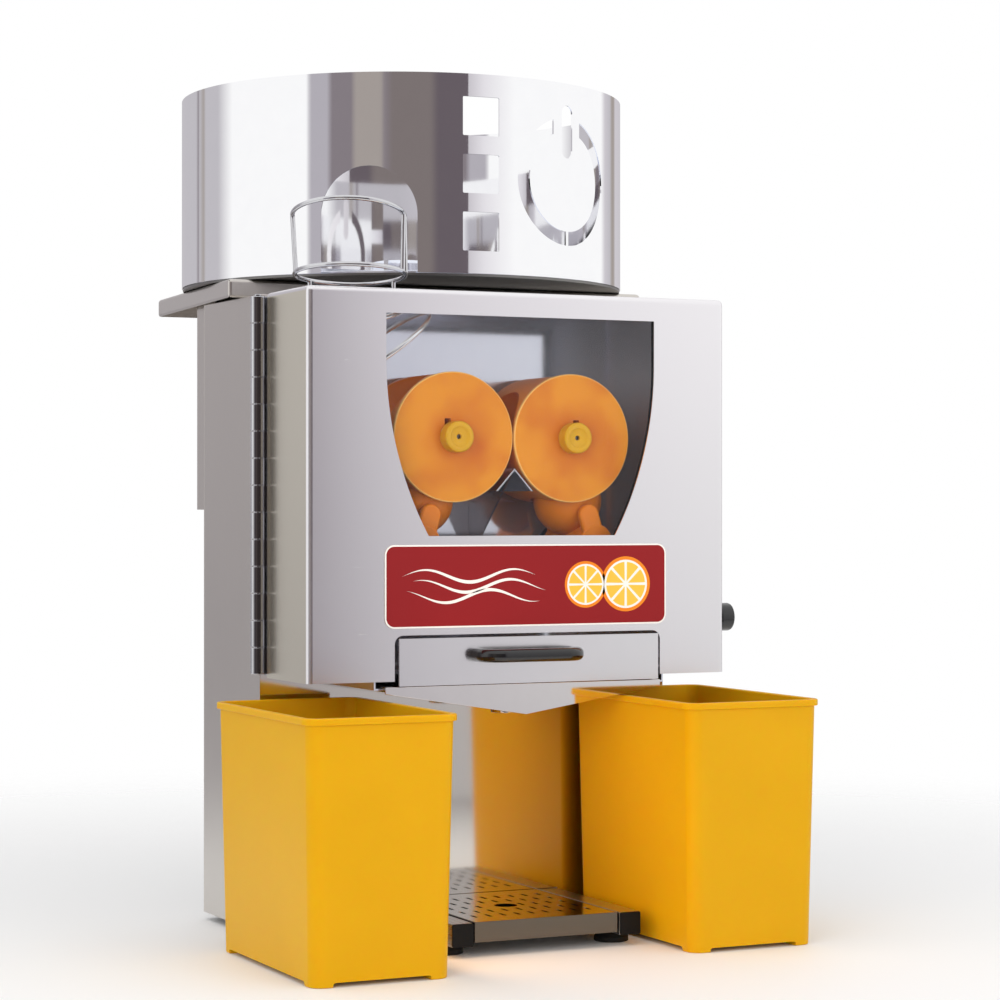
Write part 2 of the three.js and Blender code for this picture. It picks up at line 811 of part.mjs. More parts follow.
// Pull knob on the door's right side, with its stud through the sheet.
function doorPull() {
  const foot = half + gap;
  return join(
    barX(pullStud, [half - sheet - pullStudLength, foot + weld], pullPlace, pullHeight, 16),
    barX(pullNeckRadius, [foot, foot + pullNeck + weld], pullPlace, pullHeight, 16),
    barX(pullRadius, [foot + pullNeck, foot + pullNeck + pullHead], pullPlace, pullHeight, 24),
  );
}

// Angles in degrees, measured in the front view from +X towards +Z.
// At rest a ball sits in a cup on the line between each upper shaft and its lower shaft.
const squeezeAngle = (side) => -90 + side * squeezeLean;
const polar = (radius, degrees) => [
  radius * Math.cos(THREE.MathUtils.degToRad(degrees)),
  radius * Math.sin(THREE.MathUtils.degToRad(degrees)),
];

// Upper drum: a thick roll with three round cups.
function upperDrum(side) {
  const x = side * upperX;
  let solid = cut(
    barY(rollRadius, x, [rollFront, rollBack], upperHeight, 36),
    barY(shaftRadius + gap, x, [rollFront - overrun, rollBack + overrun], upperHeight, 12),
  );
  for (let k = 0; k < cupCount; k++) {
    const [dx, dz] = polar(upperPitch, squeezeAngle(side) + (360 * k) / cupCount);
    const ball = new THREE.SphereGeometry(cupRadius, 14, 8).translate(x + dx, cupMiddle, upperHeight + dz);
    solid = cut(solid, solidOf(ball));
  }
  return solid;
}

// Front disc: the smooth round plate that covers an upper drum, with a small key slot.
function frontDisc(side) {
  const x = side * upperX;
  const span = [rollFront - gap - discThickness, rollFront - gap];
  const [dx, dz] = polar(keySlotRise, 90 - side * keySlotLean);
  return cut(
    barY(discRadius, x, span, upperHeight, 36),
    barY(shaftRadius + gap, x, [span[0] - overrun, span[1] + overrun], upperHeight, 12),
    box(around(x + dx, keySlot), [span[0] - overrun, span[1] + overrun], around(upperHeight + dz, keySlot)),
  );
}

// Fixing knob: a quarter-turn nut that holds the disc and the drum on the shaft.
function fixingKnob(side) {
  const x = side * upperX;
  const back = rollFront - 2 * gap - discThickness;
  const front = back - knobLength;
  return cut(
    barY(knobRadius, x, [front, back], upperHeight, 24),
    barY(shaftRadius + turnGap, x, [shaftFront - gap, back + overrun], upperHeight, 12),
    barY(knobEye, x, [front - overrun, shaftFront], upperHeight, 12),
  );
}

// Lower unit: two balls on a hub, held by an arm in front and one behind.
function ballUnit(side) {
  const x = side * lowerX;
  const solids = [barY(ballHubRadius, x, [ballHubFront, ballHubBack], lowerHeight, 24)];
  const arms = [
    [ballHubFront + gap, ballHubFront + ballArmThickness],
    [ballHubBack - ballArmThickness, ballHubBack - gap],
  ];
  for (let k = 0; k < ballCount; k++) {
    const angle = squeezeAngle(side) + 180 + (360 * k) / ballCount;
    const [dx, dz] = polar(lowerPitch, angle);
    const ball = new THREE.SphereGeometry(ballRadius, 14, 8);
    solids.push(solidOf(ball.translate(x + dx, cupMiddle, lowerHeight + dz)));
    for (const span of arms) {
      const arm = new THREE.BoxGeometry(ballArmReach, span[1] - span[0], ballArmWidth);
      arm.translate(ballArmReach / 2, (span[0] + span[1]) / 2, 0).rotateY(-THREE.MathUtils.degToRad(angle));
      solids.push(solidOf(arm.translate(x, 0, lowerHeight)));
    }
  }
  return cut(
    join(...solids),
    barY(shaftRadius + gap, x, [ballHubFront + plate, ballHubBack + overrun], lowerHeight, 12),
  );
}

function upperShaft(side) {
  const back = side > 0 ? gearboxFront + gearboxSocket - gap : shaftBack;
  return barY(shaftRadius, side * upperX, [shaftFront, back], upperHeight, 12);
}

function lowerShaft(side) {
  return barY(shaftRadius, side * lowerX, [ballHubFront + plate + gap, shaftBack], lowerHeight, 12);
}

// Gear: a plain spur wheel; one of its teeth points along the given angle.
function gear(x, z, pitchRadius, teeth, toothAngle) {
  const pitch = 360 / teeth;
  const root = (toothRootShare * pitch) / 2;
  const tip = (toothTipShare * pitch) / 2;
  const points = [];
  for (let k = 0; k < teeth; k++) {
    const middle = toothAngle + k * pitch;
    points.push(
      polar(pitchRadius - toothDrop, middle - root),
      polar(pitchRadius + toothRise, middle - tip),
      polar(pitchRadius + toothRise, middle + tip),
      polar(pitchRadius - toothDrop, middle + root),
    );
  }
  const span = [gearFront, gearFront + gearThickness];
  return cut(
    runY(polygon(points.map(([u, v]) => [x + u, z + v])), span),
    barY(shaftRadius + gap, x, [span[0] - overrun, span[1] + overrun], z, 12),
  );
}

// The angle of one tooth of a gear that meshes with another across the direction from the first to it.
function meshingTooth(firstTooth, firstTeeth, direction, teeth) {
  const firstPitch = 360 / firstTeeth;
  const pitch = 360 / teeth;
  const share = (direction - firstTooth) / firstPitch;
  return direction + 180 - pitch * (0.5 - share);
}

// Tooth angles of the four gears: the right upper one leads.
const upperTooth = { 1: 0, "-1": meshingTooth(0, upperTeeth, 180, upperTeeth) };
const lowerTooth = (side) => meshingTooth(upperTooth[side], upperTeeth, squeezeAngle(side), lowerTeeth);

// Bearing plate: behind the column's front wall, with a boss round each shaft.
function bearingPlate() {
  const back = bearingFront + bearingPlateThickness;
  const width = 2 * (lowerX + bearingPlateMargin);
  const height = [lowerHeight - bearingPlateMargin, upperHeight + bearingPlateMargin];
  const boss = [back - weld, back + bearingBossLength];
  const bosses = shaftPlaces.map(([x, z]) => barY(bearingBoss, x, boss, z, 16));
  return cut(
    join(runY(rounded(around(0, width), height, bearingBoss), [bearingFront, back], 4), ...bosses),
    ...shaftHoles(shaftRadius + turnGap, [bearingFront - overrun, back + bearingBossLength + overrun]),
  );
}

// Drive shelf: a folded plate between the column's sides that carries the gearbox and the motor.
function driveShelf() {
  const width = 2 * (half - sheet - gap);
  const depth = [gearboxFront - plate, gearboxFront - plate + shelfDepth];
  const edge = width / 2;
  const solid = join(
    box(around(0, width), depth, [shelfTop - shelfThickness, shelfTop]),
    box([-edge, -edge + shelfThickness], depth, [shelfTop - shelfFlange, shelfTop]),
    box([edge - shelfThickness, edge], depth, [shelfTop - shelfFlange, shelfTop]),
  );
  const through = [shelfTop - shelfThickness - overrun, shelfTop + overrun];
  return cut(solid, barZ(motorSpigot + gap, upperX, motorY, through, 24));
}

function gearbox() {
  const edgeShare = 0.1;
  const outline = rounded(
    around(upperX, gearboxWidth),
    around(upperHeight, gearboxHeight),
    gearboxHeight * edgeShare,
  );
  const socket = [gearboxFront - overrun, gearboxFront + gearboxSocket];
  return cut(
    runY(outline, [gearboxFront, gearboxFront + gearboxDepth], 4),
    barY(shaftRadius + turnGap, upperX, socket, upperHeight, 12),
    barZ(motorSpigot + gap, upperX, motorY, [gearboxBottom - overrun, gearboxBottom + motorSpigotRise], 24),
  );
}

function driveMotor() {
  const top = shelfTop - shelfThickness - gap;
  return join(
    barZ(motorRadius, upperX, motorY, [top - motorLength, top], 32),
    barZ(motorSpigot, upperX, motorY, [top - weld, gearboxBottom + motorSpigotRise - gap], 24),
  );
}

// Strainer drawer: the front plate and a shallow body whose floor is open under the strainer.
function filterDrawer() {
  const face = [-drawerProud, -drawerProud + sheet];
  const body = [drawerInnerLeft, drawerInnerRight];
  const inner = [drawerInnerLeft + sheet, drawerInnerRight - sheet];
  const open = [drawerInnerLeft + strainerRim, drawerInnerRight - strainerRim];
  const depth = [face[1] - weld, drawerBack];
  const sides = [drawerBottom, drawerSideTop];
  return cut(
    join(
      box([drawerLeft, drawerRight], face, [drawerBottom, drawerTop]),
      box(body, depth, sides),
      box([drawerLeft, drawerRight], [railFront, drawerBack], [drawerSideTop - sheet, drawerSideTop]),
    ),
    box(inner, [face[1], drawerBack - sheet], [drawerBottom + sheet, drawerSideTop + overrun]),
    box(open, [strainerRim, drawerBack - strainerRim], [drawerBottom - overrun, drawerSideTop]),
  );
}

// Drawer handle: a bow whose two ends stand on the front plate.
function drawerHandle() {
  const back = -drawerProud - gap;
  const front = back - handleReach;
  const turn = front + handleCorner;
  const outer = handleLength / 2;
  const inner = outer - handleThickness;
  const turnX = outer - handleCorner;
  const shape = new THREE.Shape();
  shape.moveTo(handleShift - outer, back);
  shape.lineTo(handleShift - outer, turn);
  shape.absarc(handleShift - turnX, turn, handleCorner, Math.PI, 1.5 * Math.PI);
  shape.absarc(handleShift + turnX, turn, handleCorner, 1.5 * Math.PI, 2 * Math.PI);
  shape.lineTo(handleShift + outer, back);
  shape.lineTo(handleShift + inner, back);
  const innerCorner = handleCorner - handleThickness / 2;
  const bend = front + handleThickness + innerCorner;
  shape.absarc(handleShift + inner - innerCorner, bend, innerCorner, 0, -Math.PI / 2, true);
  shape.absarc(handleShift - inner + innerCorner, bend, innerCorner, -Math.PI / 2, -Math.PI, true);
  shape.lineTo(handleShift - inner, back);
  return runZ(shape, around(handleHeight, handleThickness), 6);
}

// The middles of a row of equal steps.
function slotRow(count, pitch, middle) {
  return Array.from({ length: count }, (_, i) => middle + (i - (count - 1) / 2) * pitch);
}

// Strainer: a slotted plate that lies on the drawer's floor.
function strainer() {
  const x0 = drawerInnerLeft + sheet + railGap;
  const x1 = drawerInnerRight - sheet - railGap;
  const y0 = strainerSeat;
  const y1 = drawerBack - sheet - railGap;
  const z0 = drawerBottom + sheet + gap;
  const middleX = (x0 + x1) / 2;
  const middleY = (y0 + y1) / 2;
  const columns = Math.floor((x1 - x0 - 2 * strainerRim) / strainerPitchX);
  const rows = Math.floor((y1 - y0 - 2 * strainerRim) / strainerPitchY);
  const through = [z0 - overrun, z0 + sheet + overrun];
  let solid = box([x0, x1], [y0, y1], [z0, z0 + sheet]);
  for (const x of slotRow(columns, strainerPitchX, middleX))
    for (const y of slotRow(rows, strainerPitchY, middleY))
      solid = cut(solid, box(around(x, strainerSlotLength), around(y, strainerSlotWidth), through));
  return solid;
}

// Juice tray: a pan with a V-shaped floor, a wider front wall, side flanges and a spout.
function juiceTray() {
  const x = juiceTrayShift;
  const wide = juiceTrayWidth / 2;
  const pan = wide - juiceTrayInset;
  const trough = (reach, inset, top) =>
    polygon([
      [x - reach + inset, top],
      [x - reach + inset, juiceTrayEdge + inset],
      [x, juiceTrayVertex + inset],
      [x + reach - inset, juiceTrayEdge + inset],
      [x + reach - inset, top],
    ]);
  const spout = [juiceTrayVertex - spoutDrop, juiceTrayVertex + spoutRise];
  return cut(
    join(
      runY(trough(wide, 0, juiceTrayTop), [0, sheet]),
      runY(trough(pan, 0, juiceTrayTop), [sheet - weld, juiceTrayBack]),
      box(around(x, juiceTrayWidth), [railFront, juiceTrayBack], [juiceTrayTop - sheet, juiceTrayTop]),
      barZ(spoutRadius, x, spoutPlace, spout, 20),
    ),
    runY(trough(pan, sheet, juiceTrayTop + overrun), [sheet, juiceTrayBack - sheet]),
    barZ(spoutRadius - spoutWall, x, spoutPlace, [spout[0] - overrun, juiceTrayTop], 20),
  );
}

// Drip tray: a shallow pan between the legs, with a ledge that carries the grille.
function dripTray() {
  const depth = [tubeFront, columnFront - 2 * gap];
  const inner = (inset) => [
    around(0, dripTrayWidth - 2 * inset),
    [depth[0] + inset, depth[1] - inset],
  ];
  const ledgeTop = dripTrayTop - grilleThickness - gap;
  return cut(
    box(around(0, dripTrayWidth), depth, [dripTrayBottom, dripTrayTop]),
    box(...inner(sheet), [dripTrayBottom + sheet, ledgeTop - sheet]),
    box(...inner(sheet + dripTrayLedge), [dripTrayBottom + sheet, dripTrayTop]),
    box(...inner(sheet), [ledgeTop, dripTrayTop + overrun]),
  );
}

// A slot that is long along Y: drawn along X and turned a quarter.
function turnedSlot(shape, [z0, z1]) {
  const geometry = new THREE.ExtrudeGeometry(shape, { depth: z1 - z0, bevelEnabled: false });
  return solidOf(geometry.rotateZ(-Math.PI / 2).translate(0, 0, z0));
}

// Drip grille: a slotted plate with a round hole below the spout.
function dripGrille() {
  const inset = sheet + gap;
  const width = dripTrayWidth - 2 * inset;
  const depth = [tubeFront + inset, columnFront - 2 * gap - inset];
  const middle = (depth[0] + depth[1]) / 2;
  const span = [dripTrayTop - grilleThickness, dripTrayTop];
  const through = [span[0] - overrun, span[1] + overrun];
  const columns = Math.floor((width - 2 * grilleRim) / grillePitchX) + 1;
  const rows = Math.floor((depth[1] - depth[0] - 2 * grilleRim) / grillePitchY);
  let solid = cut(
    box(around(0, width), depth, span),
    barZ(grilleHoleRadius, grilleHoleX, grilleHolePlace, through, 24),
  );
  for (const x of slotRow(columns, grillePitchX, 0))
    for (const y of slotRow(rows, grillePitchY, middle)) {
      const nearX = Math.abs(x - grilleHoleX) < grilleHoleRadius + grilleSlotWidth;
      const nearY = Math.abs(y - grilleHolePlace) < grilleHoleRadius + grilleSlotLength / 2 + grilleSlotWidth;
      if (nearX && nearY) continue;
      const slot = slotOutline(around(-y, grilleSlotLength), around(x, grilleSlotWidth));
      solid = cut(solid, turnedSlot(slot, through));
    }
  return solid;
}

// A body whose outline changes from one height to the next: each level is an outline and its height.
function loft(levels) {
  const rings = levels.map(([shape, z]) => ({ points: shape.getPoints(3), z }));
  const count = rings[0].points.length - 1;
  const vertices = rings.flatMap(({ points, z }) => points.slice(0, count).flatMap((p) => [p.x, p.y, z]));
  const faces = [];
  for (let level = 0; level + 1 < rings.length; level++)
    for (let i = 0; i < count; i++) {
      const a = level * count + i;
      const b = level * count + ((i + 1) % count);
      faces.push(a, b, b + count, a, b + count, a + count);
    }
  const last = (rings.length - 1) * count;
  for (let i = 1; i + 1 < count; i++) faces.push(0, i + 1, i, last, last + i, last + i + 1);
  const geometry = new THREE.BufferGeometry();
  geometry.setAttribute("position", new THREE.Float32BufferAttribute(vertices, 3));
  geometry.setIndex(faces);
  return solidOf(geometry);
}

// Peel bin: a deep plastic box that widens to a rim and stands on its four corners.
function peelBin(x, y) {
  const outline = (grow, corner) =>
    rounded(around(x, binWidth + 2 * grow), around(y, binDepth + 2 * grow), corner);
  const rimBottom = binHeight - binRimHeight;
  const rimOut = binDraft + binRim;
  const rim = outline(rimOut, binCorner + binRim);
  const floor = binFootRise + binWall;
  const betweenFeet = [-overrun, binFootRise];
  const spanX = around(x, binWidth - 2 * binFoot);
  const spanY = around(y, binDepth - 2 * binFoot);
  const allX = around(x, binWidth + 2 * rimOut);
  const allY = around(y, binDepth + 2 * rimOut);
  return cut(
    join(
      loft([[outline(0, binCorner), 0], [outline(binDraft, binCorner), rimBottom + weld]]),
      loft([[rim, rimBottom], [rim, binHeight]]),
    ),
    loft([
      [outline(-binWall, binCorner - binWall), floor],
      [outline(binDraft - binWall, binCorner - binWall), binHeight + overrun],
    ]),
    box(spanX, allY, betweenFeet),
    box(allX, spanY, betweenFeet),
  );
}

// Saddle: a folded sheet pan, open below, that carries the drum on the column's top.
function feederSaddle() {
  const rearHalf = saddleRearWidth / 2;
  const outline = (inset) =>
    polygon([
      [-drumRadius + inset, saddleFront + inset],
      [drumRadius - inset, saddleFront + inset],
      [rearHalf - inset, saddleBack - inset],
      [-rearHalf + inset, saddleBack - inset],
    ]);
  return cut(
    runZ(outline(0), [saddleBottom, saddleTop], 3),
    runZ(outline(sheet), [saddleBottom - overrun, saddleTop - sheet], 3),
    barZ(rotorShaftRadius + railGap, 0, drumMiddle, [saddleBottom, saddleTop + overrun], 20),
  );
}

// Support box: the bracket behind the column that carries the saddle's rear half.
function feederSupport() {
  const front = columnBack + gap;
  const back = front + supportDepth;
  const width = supportWidth - 2 * sheet;
  return cut(
    box(around(0, supportWidth), [front, back], [supportBottom, supportTop]),
    box(around(0, width), [front - overrun, back - sheet], [supportBottom - overrun, supportTop - sheet]),
    barZ(feedGearRadius + feedGearClear, 0, drumMiddle, [supportBottom, supportTop + overrun], 32),
  );
}

// Feeder motor: a gearhead under the saddle with the motor below it.
function feederMotor() {
  const gearBottom = supportTop - feedGearHeight;
  return cut(
    join(
      barZ(feedGearRadius, 0, drumMiddle, [gearBottom, supportTop], 32),
      barZ(feedMotorRadius, 0, drumMiddle, [gearBottom - feedMotorLength, gearBottom + weld], 24),
    ),
    barZ(rotorShaftRadius + gap, 0, drumMiddle, [supportTop - rotorSocket, supportTop + overrun], 16),
  );
}

// A cut through the drum's wall, drawn flat and turned to its angle round the drum.
function drumCut(shape, degrees, curveSegments = 8) {
  const angle = THREE.MathUtils.degToRad(degrees);
  const depth = ringRadius / 2;
  const options = { depth: depth + overrun, bevelEnabled: false, curveSegments };
  const geometry = new THREE.ExtrudeGeometry(shape, options);
  geometry.translate(0, 0, drumRadius - depth);
  const across = new THREE.Vector3(Math.cos(angle), Math.sin(angle), 0);
  const out = new THREE.Vector3(Math.sin(angle), -Math.cos(angle), 0);
  geometry.applyMatrix4(new THREE.Matrix4().makeBasis(across, new THREE.Vector3(0, 0, 1), out));
  return solidOf(geometry.translate(0, drumMiddle, 0));
}

// The arch that the fruit leaves by.
function archShape() {
  const spring = archTop - archHalfWidth;
  const shape = new THREE.Shape();
  shape.moveTo(-archHalfWidth, drumBottom - overrun);
  shape.lineTo(archHalfWidth, drumBottom - overrun);
  shape.absarc(0, spring, archHalfWidth, 0, Math.PI);
  return shape;
}

// Half of the ring window: left is -1 and right is 1; the halves leave a gap above and a bridge below.
function halfRingShape(side) {
  const inner = ringRadius - ringBand;
  const angleAt = (radius, offset) => Math.acos(offset / radius);
  const shape = new THREE.Shape();
  const bridge = ringBridge / 2;
  const outerFrom = -angleAt(ringRadius, bridge);
  const outerTo = angleAt(ringRadius, ringGapHalf);
  const innerFrom = angleAt(inner, ringGapHalf);
  const innerTo = -angleAt(inner, bridge);
  shape.moveTo(ringRadius * Math.cos(outerFrom), ringHeight + ringRadius * Math.sin(outerFrom));
  shape.absarc(0, ringHeight, ringRadius, outerFrom, outerTo);
  shape.absarc(0, ringHeight, inner, innerFrom, innerTo, true);
  if (side > 0) return shape;
  return new THREE.Shape(shape.getPoints(8).map((p) => new THREE.Vector2(-p.x, p.y)).reverse());
}

// Drum wall: a tall open cylinder with an arch, three square windows and a ring window with a stem.
function drumWallShell() {
  const inside = [drumBottom - overrun, drumTop + overrun];
  let solid = cut(
    barZ(drumRadius, 0, drumMiddle, [drumBottom, drumTop], drumSides),
    barZ(drumRadius - drumWall, 0, drumMiddle, inside, drumSides),
    drumCut(archShape(), archAngle),
    drumCut(halfRingShape(1), ringAngle, 8),
    drumCut(halfRingShape(-1), ringAngle, 8),
    drumCut(rounded(around(0, stemWidth), [stemBottom, stemTop], stemWidth / 2), ringAngle, 4),
  );
  for (let k = 0; k < squareCount; k++) {
    const height = around(squareLowest + k * squarePitch, squareSize);
    solid = cut(solid, drumCut(rounded(around(0, squareSize), height, drumWall), squareAngle, 2));
  }
  return solid;
}

function drumFloor() {
  const span = [saddleTop + gap, drumFloorTop];
  return cut(
    barZ(drumRadius - drumFloorInset, 0, drumMiddle, span, drumSides / 2),
    barZ(rotorShaftRadius + railGap, 0, drumMiddle, [span[0] - overrun, span[1] + overrun], 20),
  );
}

// Feed rotor: a turning floor with low fins that carries the fruit round to the arch.
function feedRotor() {
  const floor = drumFloorTop + rotorFloat;
  const top = floor + rotorDiscThickness;
  const solids = [
    barZ(rotorDiscRadius, 0, drumMiddle, [floor, top], 36),
    barZ(rotorHubRadius, 0, drumMiddle, [top - weld, top + rotorHubHeight], 24),
    barZ(rotorShaftRadius, 0, drumMiddle, [supportTop - rotorSocket + gap, floor + weld], 16),
  ];
  for (let k = 0; k < rotorFinCount; k++) {
    const fin = new THREE.BoxGeometry(rotorFinReach, rotorFinThickness, rotorFinHeight);
    fin.translate(rotorFinReach / 2, 0, top - weld + rotorFinHeight / 2);
    fin.rotateZ((2 * Math.PI * k) / rotorFinCount).translate(0, drumMiddle, 0);
    solids.push(solidOf(fin));
  }
  return join(...solids);
}

// Cage: a tilted wire ring over the drop hole, with a half hoop above it and short legs to the top plate.
function dropCage() {
  const ring = ringPlace(cageRadius, dropHoleX, dropHoleY, cageHeight, -cageTilt, 0, cageHeading);
  const hoopX = dropHoleX - hoopShift;
  const hoop = ringPlace(hoopRadius, hoopX, dropHoleY, hoopHeight, -hoopTilt, 0, cageHeading);
  const solids = [ringWire(ring), arcWire(hoop, 180, 360)];
  for (const [ringAngle, hoopAngle] of cageUprightAngles)
    solids.push(straightWire(ring.at(ringAngle), hoop.at(hoopAngle)));
  for (const angle of cageLegAngles) {
    const from = ring.at(angle);
    solids.push(straightWire(from, from.clone().setZ(chamberTop + gap)));
  }
  return join(...solids);
}

// Control panel: a plate on the column's right side with two collars that guide the buttons.
const buttonHeights = [controlMiddle + buttonSpacing / 2, controlMiddle - buttonSpacing / 2];
function controlPanel() {
  const face = [half + gap, half + gap + controlThickness];
  const collar = [face[0] - collarDepth, face[1] + collarProud];
  const outline = box(face, around(controlPlace, controlWidth), around(controlMiddle, controlHeight));
  const collars = buttonHeights.map((z) => barX(collarRadius, collar, controlPlace, z, 20));
  const bores = buttonHeights.map((z) =>
    barX(buttonRadius + gap, [collar[0] - overrun, collar[1] + overrun], controlPlace, z, 20),
  );
  return cut(join(outline, ...collars), ...bores);
}

function pushButton(z) {
  const back = half + gap;
  const span = [back - collarDepth / 2, back + controlThickness + buttonProud];
  return barX(buttonRadius, span, controlPlace, z, 20);
}

// Mains inlet: a socket with three pins, set in the rear cover.
function powerInlet() {
  const back = columnBack + gap;
  const front = back - inletDepth;
  const width = inletWidth - 2 * gap;
  const height = inletHeight - 2 * gap;
  const floor = back + inletProud - inletSocketDepth;
  const pinWidth = inletProud;
  const pinLength = inletSocketDepth - inletProud;
  const socket = cut(
    join(
      box(around(inletX, width), [front, back + weld], around(inletZ, height)),
      box(
        around(inletX, inletWidth + 2 * inletFlange),
        [back, back + inletProud],
        around(inletZ, inletHeight + 2 * inletFlange),
      ),
    ),
    box(
      around(inletX, inletWidth - 2 * inletSocketInset),
      [floor, back + inletProud + overrun],
      around(inletZ, inletHeight - inletSocketInset),
    ),
  );
  const pins = [-1, 0, 1].map((k) =>
    box(
      around(inletX + (k * inletWidth) / 6, pinWidth),
      [floor - weld, floor + pinLength],
      around(inletZ + (k === 0 ? pinWidth : -pinWidth / 2), 2 * pinWidth),
    ),
  );
  return join(socket, ...pins);
}

// The standing parts
put("column_housing", satinSteel, columnHousing());
put("rear_cover", satinSteel, rearCover());
put("crossbar", satinSteel, crossbar());
put("chamber_frame", satinSteel, chamberFrame());
put("wedge_blade", mirrorSteel, wedgeBlade());
put("feed_guide", chrome, feedGuide());
put("bearing_plate", castAlloy, bearingPlate());
put("drive_shelf", darkSteel, driveShelf());
put("gearbox", castAlloy, gearbox());
put("drive_motor", darkSteel, driveMotor());
put("feeder_saddle", satinSteel, feederSaddle());
put("feeder_support", satinSteel, feederSupport());
put("feeder_motor", darkSteel, feederMotor());
put("drum_wall", mirrorSteel, drumWallShell());
put("drum_floor", satinSteel, drumFloor());
put("drop_cage", chrome, dropCage());
put("control_panel", blackPlastic, controlPanel());
put("power_inlet", blackPlastic, powerInlet());
put("start_button", buttonGreen, pushButton(buttonHeights[0]));
put("stop_button", buttonRed, pushButton(buttonHeights[1]));
put("feed_rotor", satinSteel, feedRotor());

// The door and its hinge: the door's leaf lies inside its left wall, the other one on the chamber's flange
const doorLeafBack = hingeLine - barrelBore - leafSheet;
const doorLeaf = [doorLeafBack - doorLeafWidth, doorLeafBack];
const columnLeafFront = hingeLine + barrelBore + leafSheet - gap;
const columnLeaf = [columnLeafFront, frameBack];
const columnWeb = [columnLeafFront, columnLeafFront + webThickness];
put("door_shell", satinSteel, doorShell());
put("window_pane", clearPane, windowPane());
put("label_plate", labelRed, labelPlate());
put("door_pull", blackPlastic, doorPull());
put("door_hinge_leaf", chrome, hingeLeaf(doorLeaf, [doorLeafBack - webThickness, doorLeafBack], 0));
put("column_hinge_leaf", chrome, hingeLeaf(columnLeaf, columnWeb, 1));
put("hinge_pin", chrome, hingePin());

// Pieces that come in a left and a right copy
for (const [name, side] of [["left", -1], ["right", 1]]) {
  const upperAngle = upperTooth[side];
  const lowerAngle = lowerTooth(side);
  put(`leg_${name}`, satinSteel, leg(side));
  put(`leg_cap_${name}`, blackPlastic, legCap(side));
  put(`front_foot_${name}`, blackRubber, foot(side, tubeFront + frontFootInset));
  put(`rear_foot_${name}`, blackRubber, foot(side, tubeBack - rearFootInset));
  put(`upper_drum_${name}`, rollerPlastic, upperDrum(side));
  put(`front_disc_${name}`, rollerPlastic, frontDisc(side));
  put(`fixing_knob_${name}`, knobPlastic, fixingKnob(side));
  put(`upper_shaft_${name}`, darkSteel, upperShaft(side));
  const upperGear = gear(side * upperX, upperHeight, upperPitch, upperTeeth, upperAngle);
  const lowerGear = gear(side * lowerX, lowerHeight, lowerPitch, lowerTeeth, lowerAngle);
  put(`upper_gear_${name}`, gearPlastic, upperGear);
  put(`ball_unit_${name}`, rollerPlastic, ballUnit(side));
  put(`lower_shaft_${name}`, darkSteel, lowerShaft(side));
  put(`lower_gear_${name}`, gearPlastic, lowerGear);
}
put("peel_bin_left", binPlastic, peelBin(leftBinX, leftBinY));
put("peel_bin_right", binPlastic, peelBin(rightBinX, rightBinY));

// Drawer and trays
put("filter_drawer", satinSteel, filterDrawer());
put("drawer_handle", blackPlastic, drawerHandle());
put("strainer", satinSteel, strainer());
put("juice_tray", satinSteel, juiceTray());
put("drip_tray", satinSteel, dripTray());
put("drip_grille", satinSteel, dripGrille());

// The origin is the middle of the outer box, on the worktop.
const binHalfWidth = binWidth / 2 + binDraft + binRim;
const binHalfDepth = binDepth / 2 + binDraft + binRim;
const leftEdge = leftBinX - binHalfWidth;
const rightEdge = rightBinX + binHalfWidth;
const frontEdge = leftBinY - binHalfDepth;
const backEdge = drumMiddle + drumRadius;
machine.position.set(-(leftEdge + rightEdge) / 2, -(frontEdge + backEdge) / 2, 0);

export default machine;
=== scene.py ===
# %% [markdown]
# # An automatic orange juicer
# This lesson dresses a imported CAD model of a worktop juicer. A feeder drum of polished steel stands on top.
# A wire cage leads from it down into a chamber, where two cupped drums turn against two pairs of balls.
# The CAD frame gives the place and size of each piece. What is made here is its surface: smooth curves,
# round edges, finishes and light.

# %% Load the frame
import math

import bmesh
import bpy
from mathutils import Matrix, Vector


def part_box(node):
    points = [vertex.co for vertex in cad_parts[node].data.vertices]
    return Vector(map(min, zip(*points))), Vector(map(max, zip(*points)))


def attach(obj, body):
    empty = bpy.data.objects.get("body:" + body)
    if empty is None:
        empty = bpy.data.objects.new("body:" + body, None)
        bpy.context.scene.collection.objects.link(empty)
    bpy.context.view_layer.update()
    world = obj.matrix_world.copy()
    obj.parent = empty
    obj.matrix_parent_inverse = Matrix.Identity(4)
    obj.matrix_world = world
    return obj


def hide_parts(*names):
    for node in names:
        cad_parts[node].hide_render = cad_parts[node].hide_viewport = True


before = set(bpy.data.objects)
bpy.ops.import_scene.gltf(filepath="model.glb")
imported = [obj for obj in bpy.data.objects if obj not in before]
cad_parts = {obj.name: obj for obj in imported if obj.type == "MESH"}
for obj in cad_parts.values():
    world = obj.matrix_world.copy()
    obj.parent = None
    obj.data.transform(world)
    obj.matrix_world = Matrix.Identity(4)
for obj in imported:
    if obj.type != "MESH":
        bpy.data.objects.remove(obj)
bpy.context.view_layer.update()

# %% [markdown]
# ## Units and the machine's own datum
# A maker measures from the middle of the door's front face, in millimetres. Blender works in metres, in the
# frame of the whole row, so one function turns the first into the second.

MM = 0.001
door_low, door_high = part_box("door_shell")
datum = Vector(((door_low.x + door_high.x) / 2, door_low.y, 0))


def row(x, y, z):
    """A place in the machine's millimetres as a point in the row's metres."""
    return datum + Vector((x, y, z)) * MM


def span(node):
    """The box of a CAD node in the machine's millimetres: its x, y and z spans."""
    low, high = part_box(node)
    return [((a - d) / MM, (b - d) / MM) for a, b, d in zip(low, high, datum)]


# %% [markdown]
# ## The camera
# The photograph was taken with a long lens from the left of the door, level with the middle of the machine.
# A camera could be placed by eye, but here its place was solved from the edges of the door, the legs and
# the bins, so that each piece falls within a few pixels of its picture.

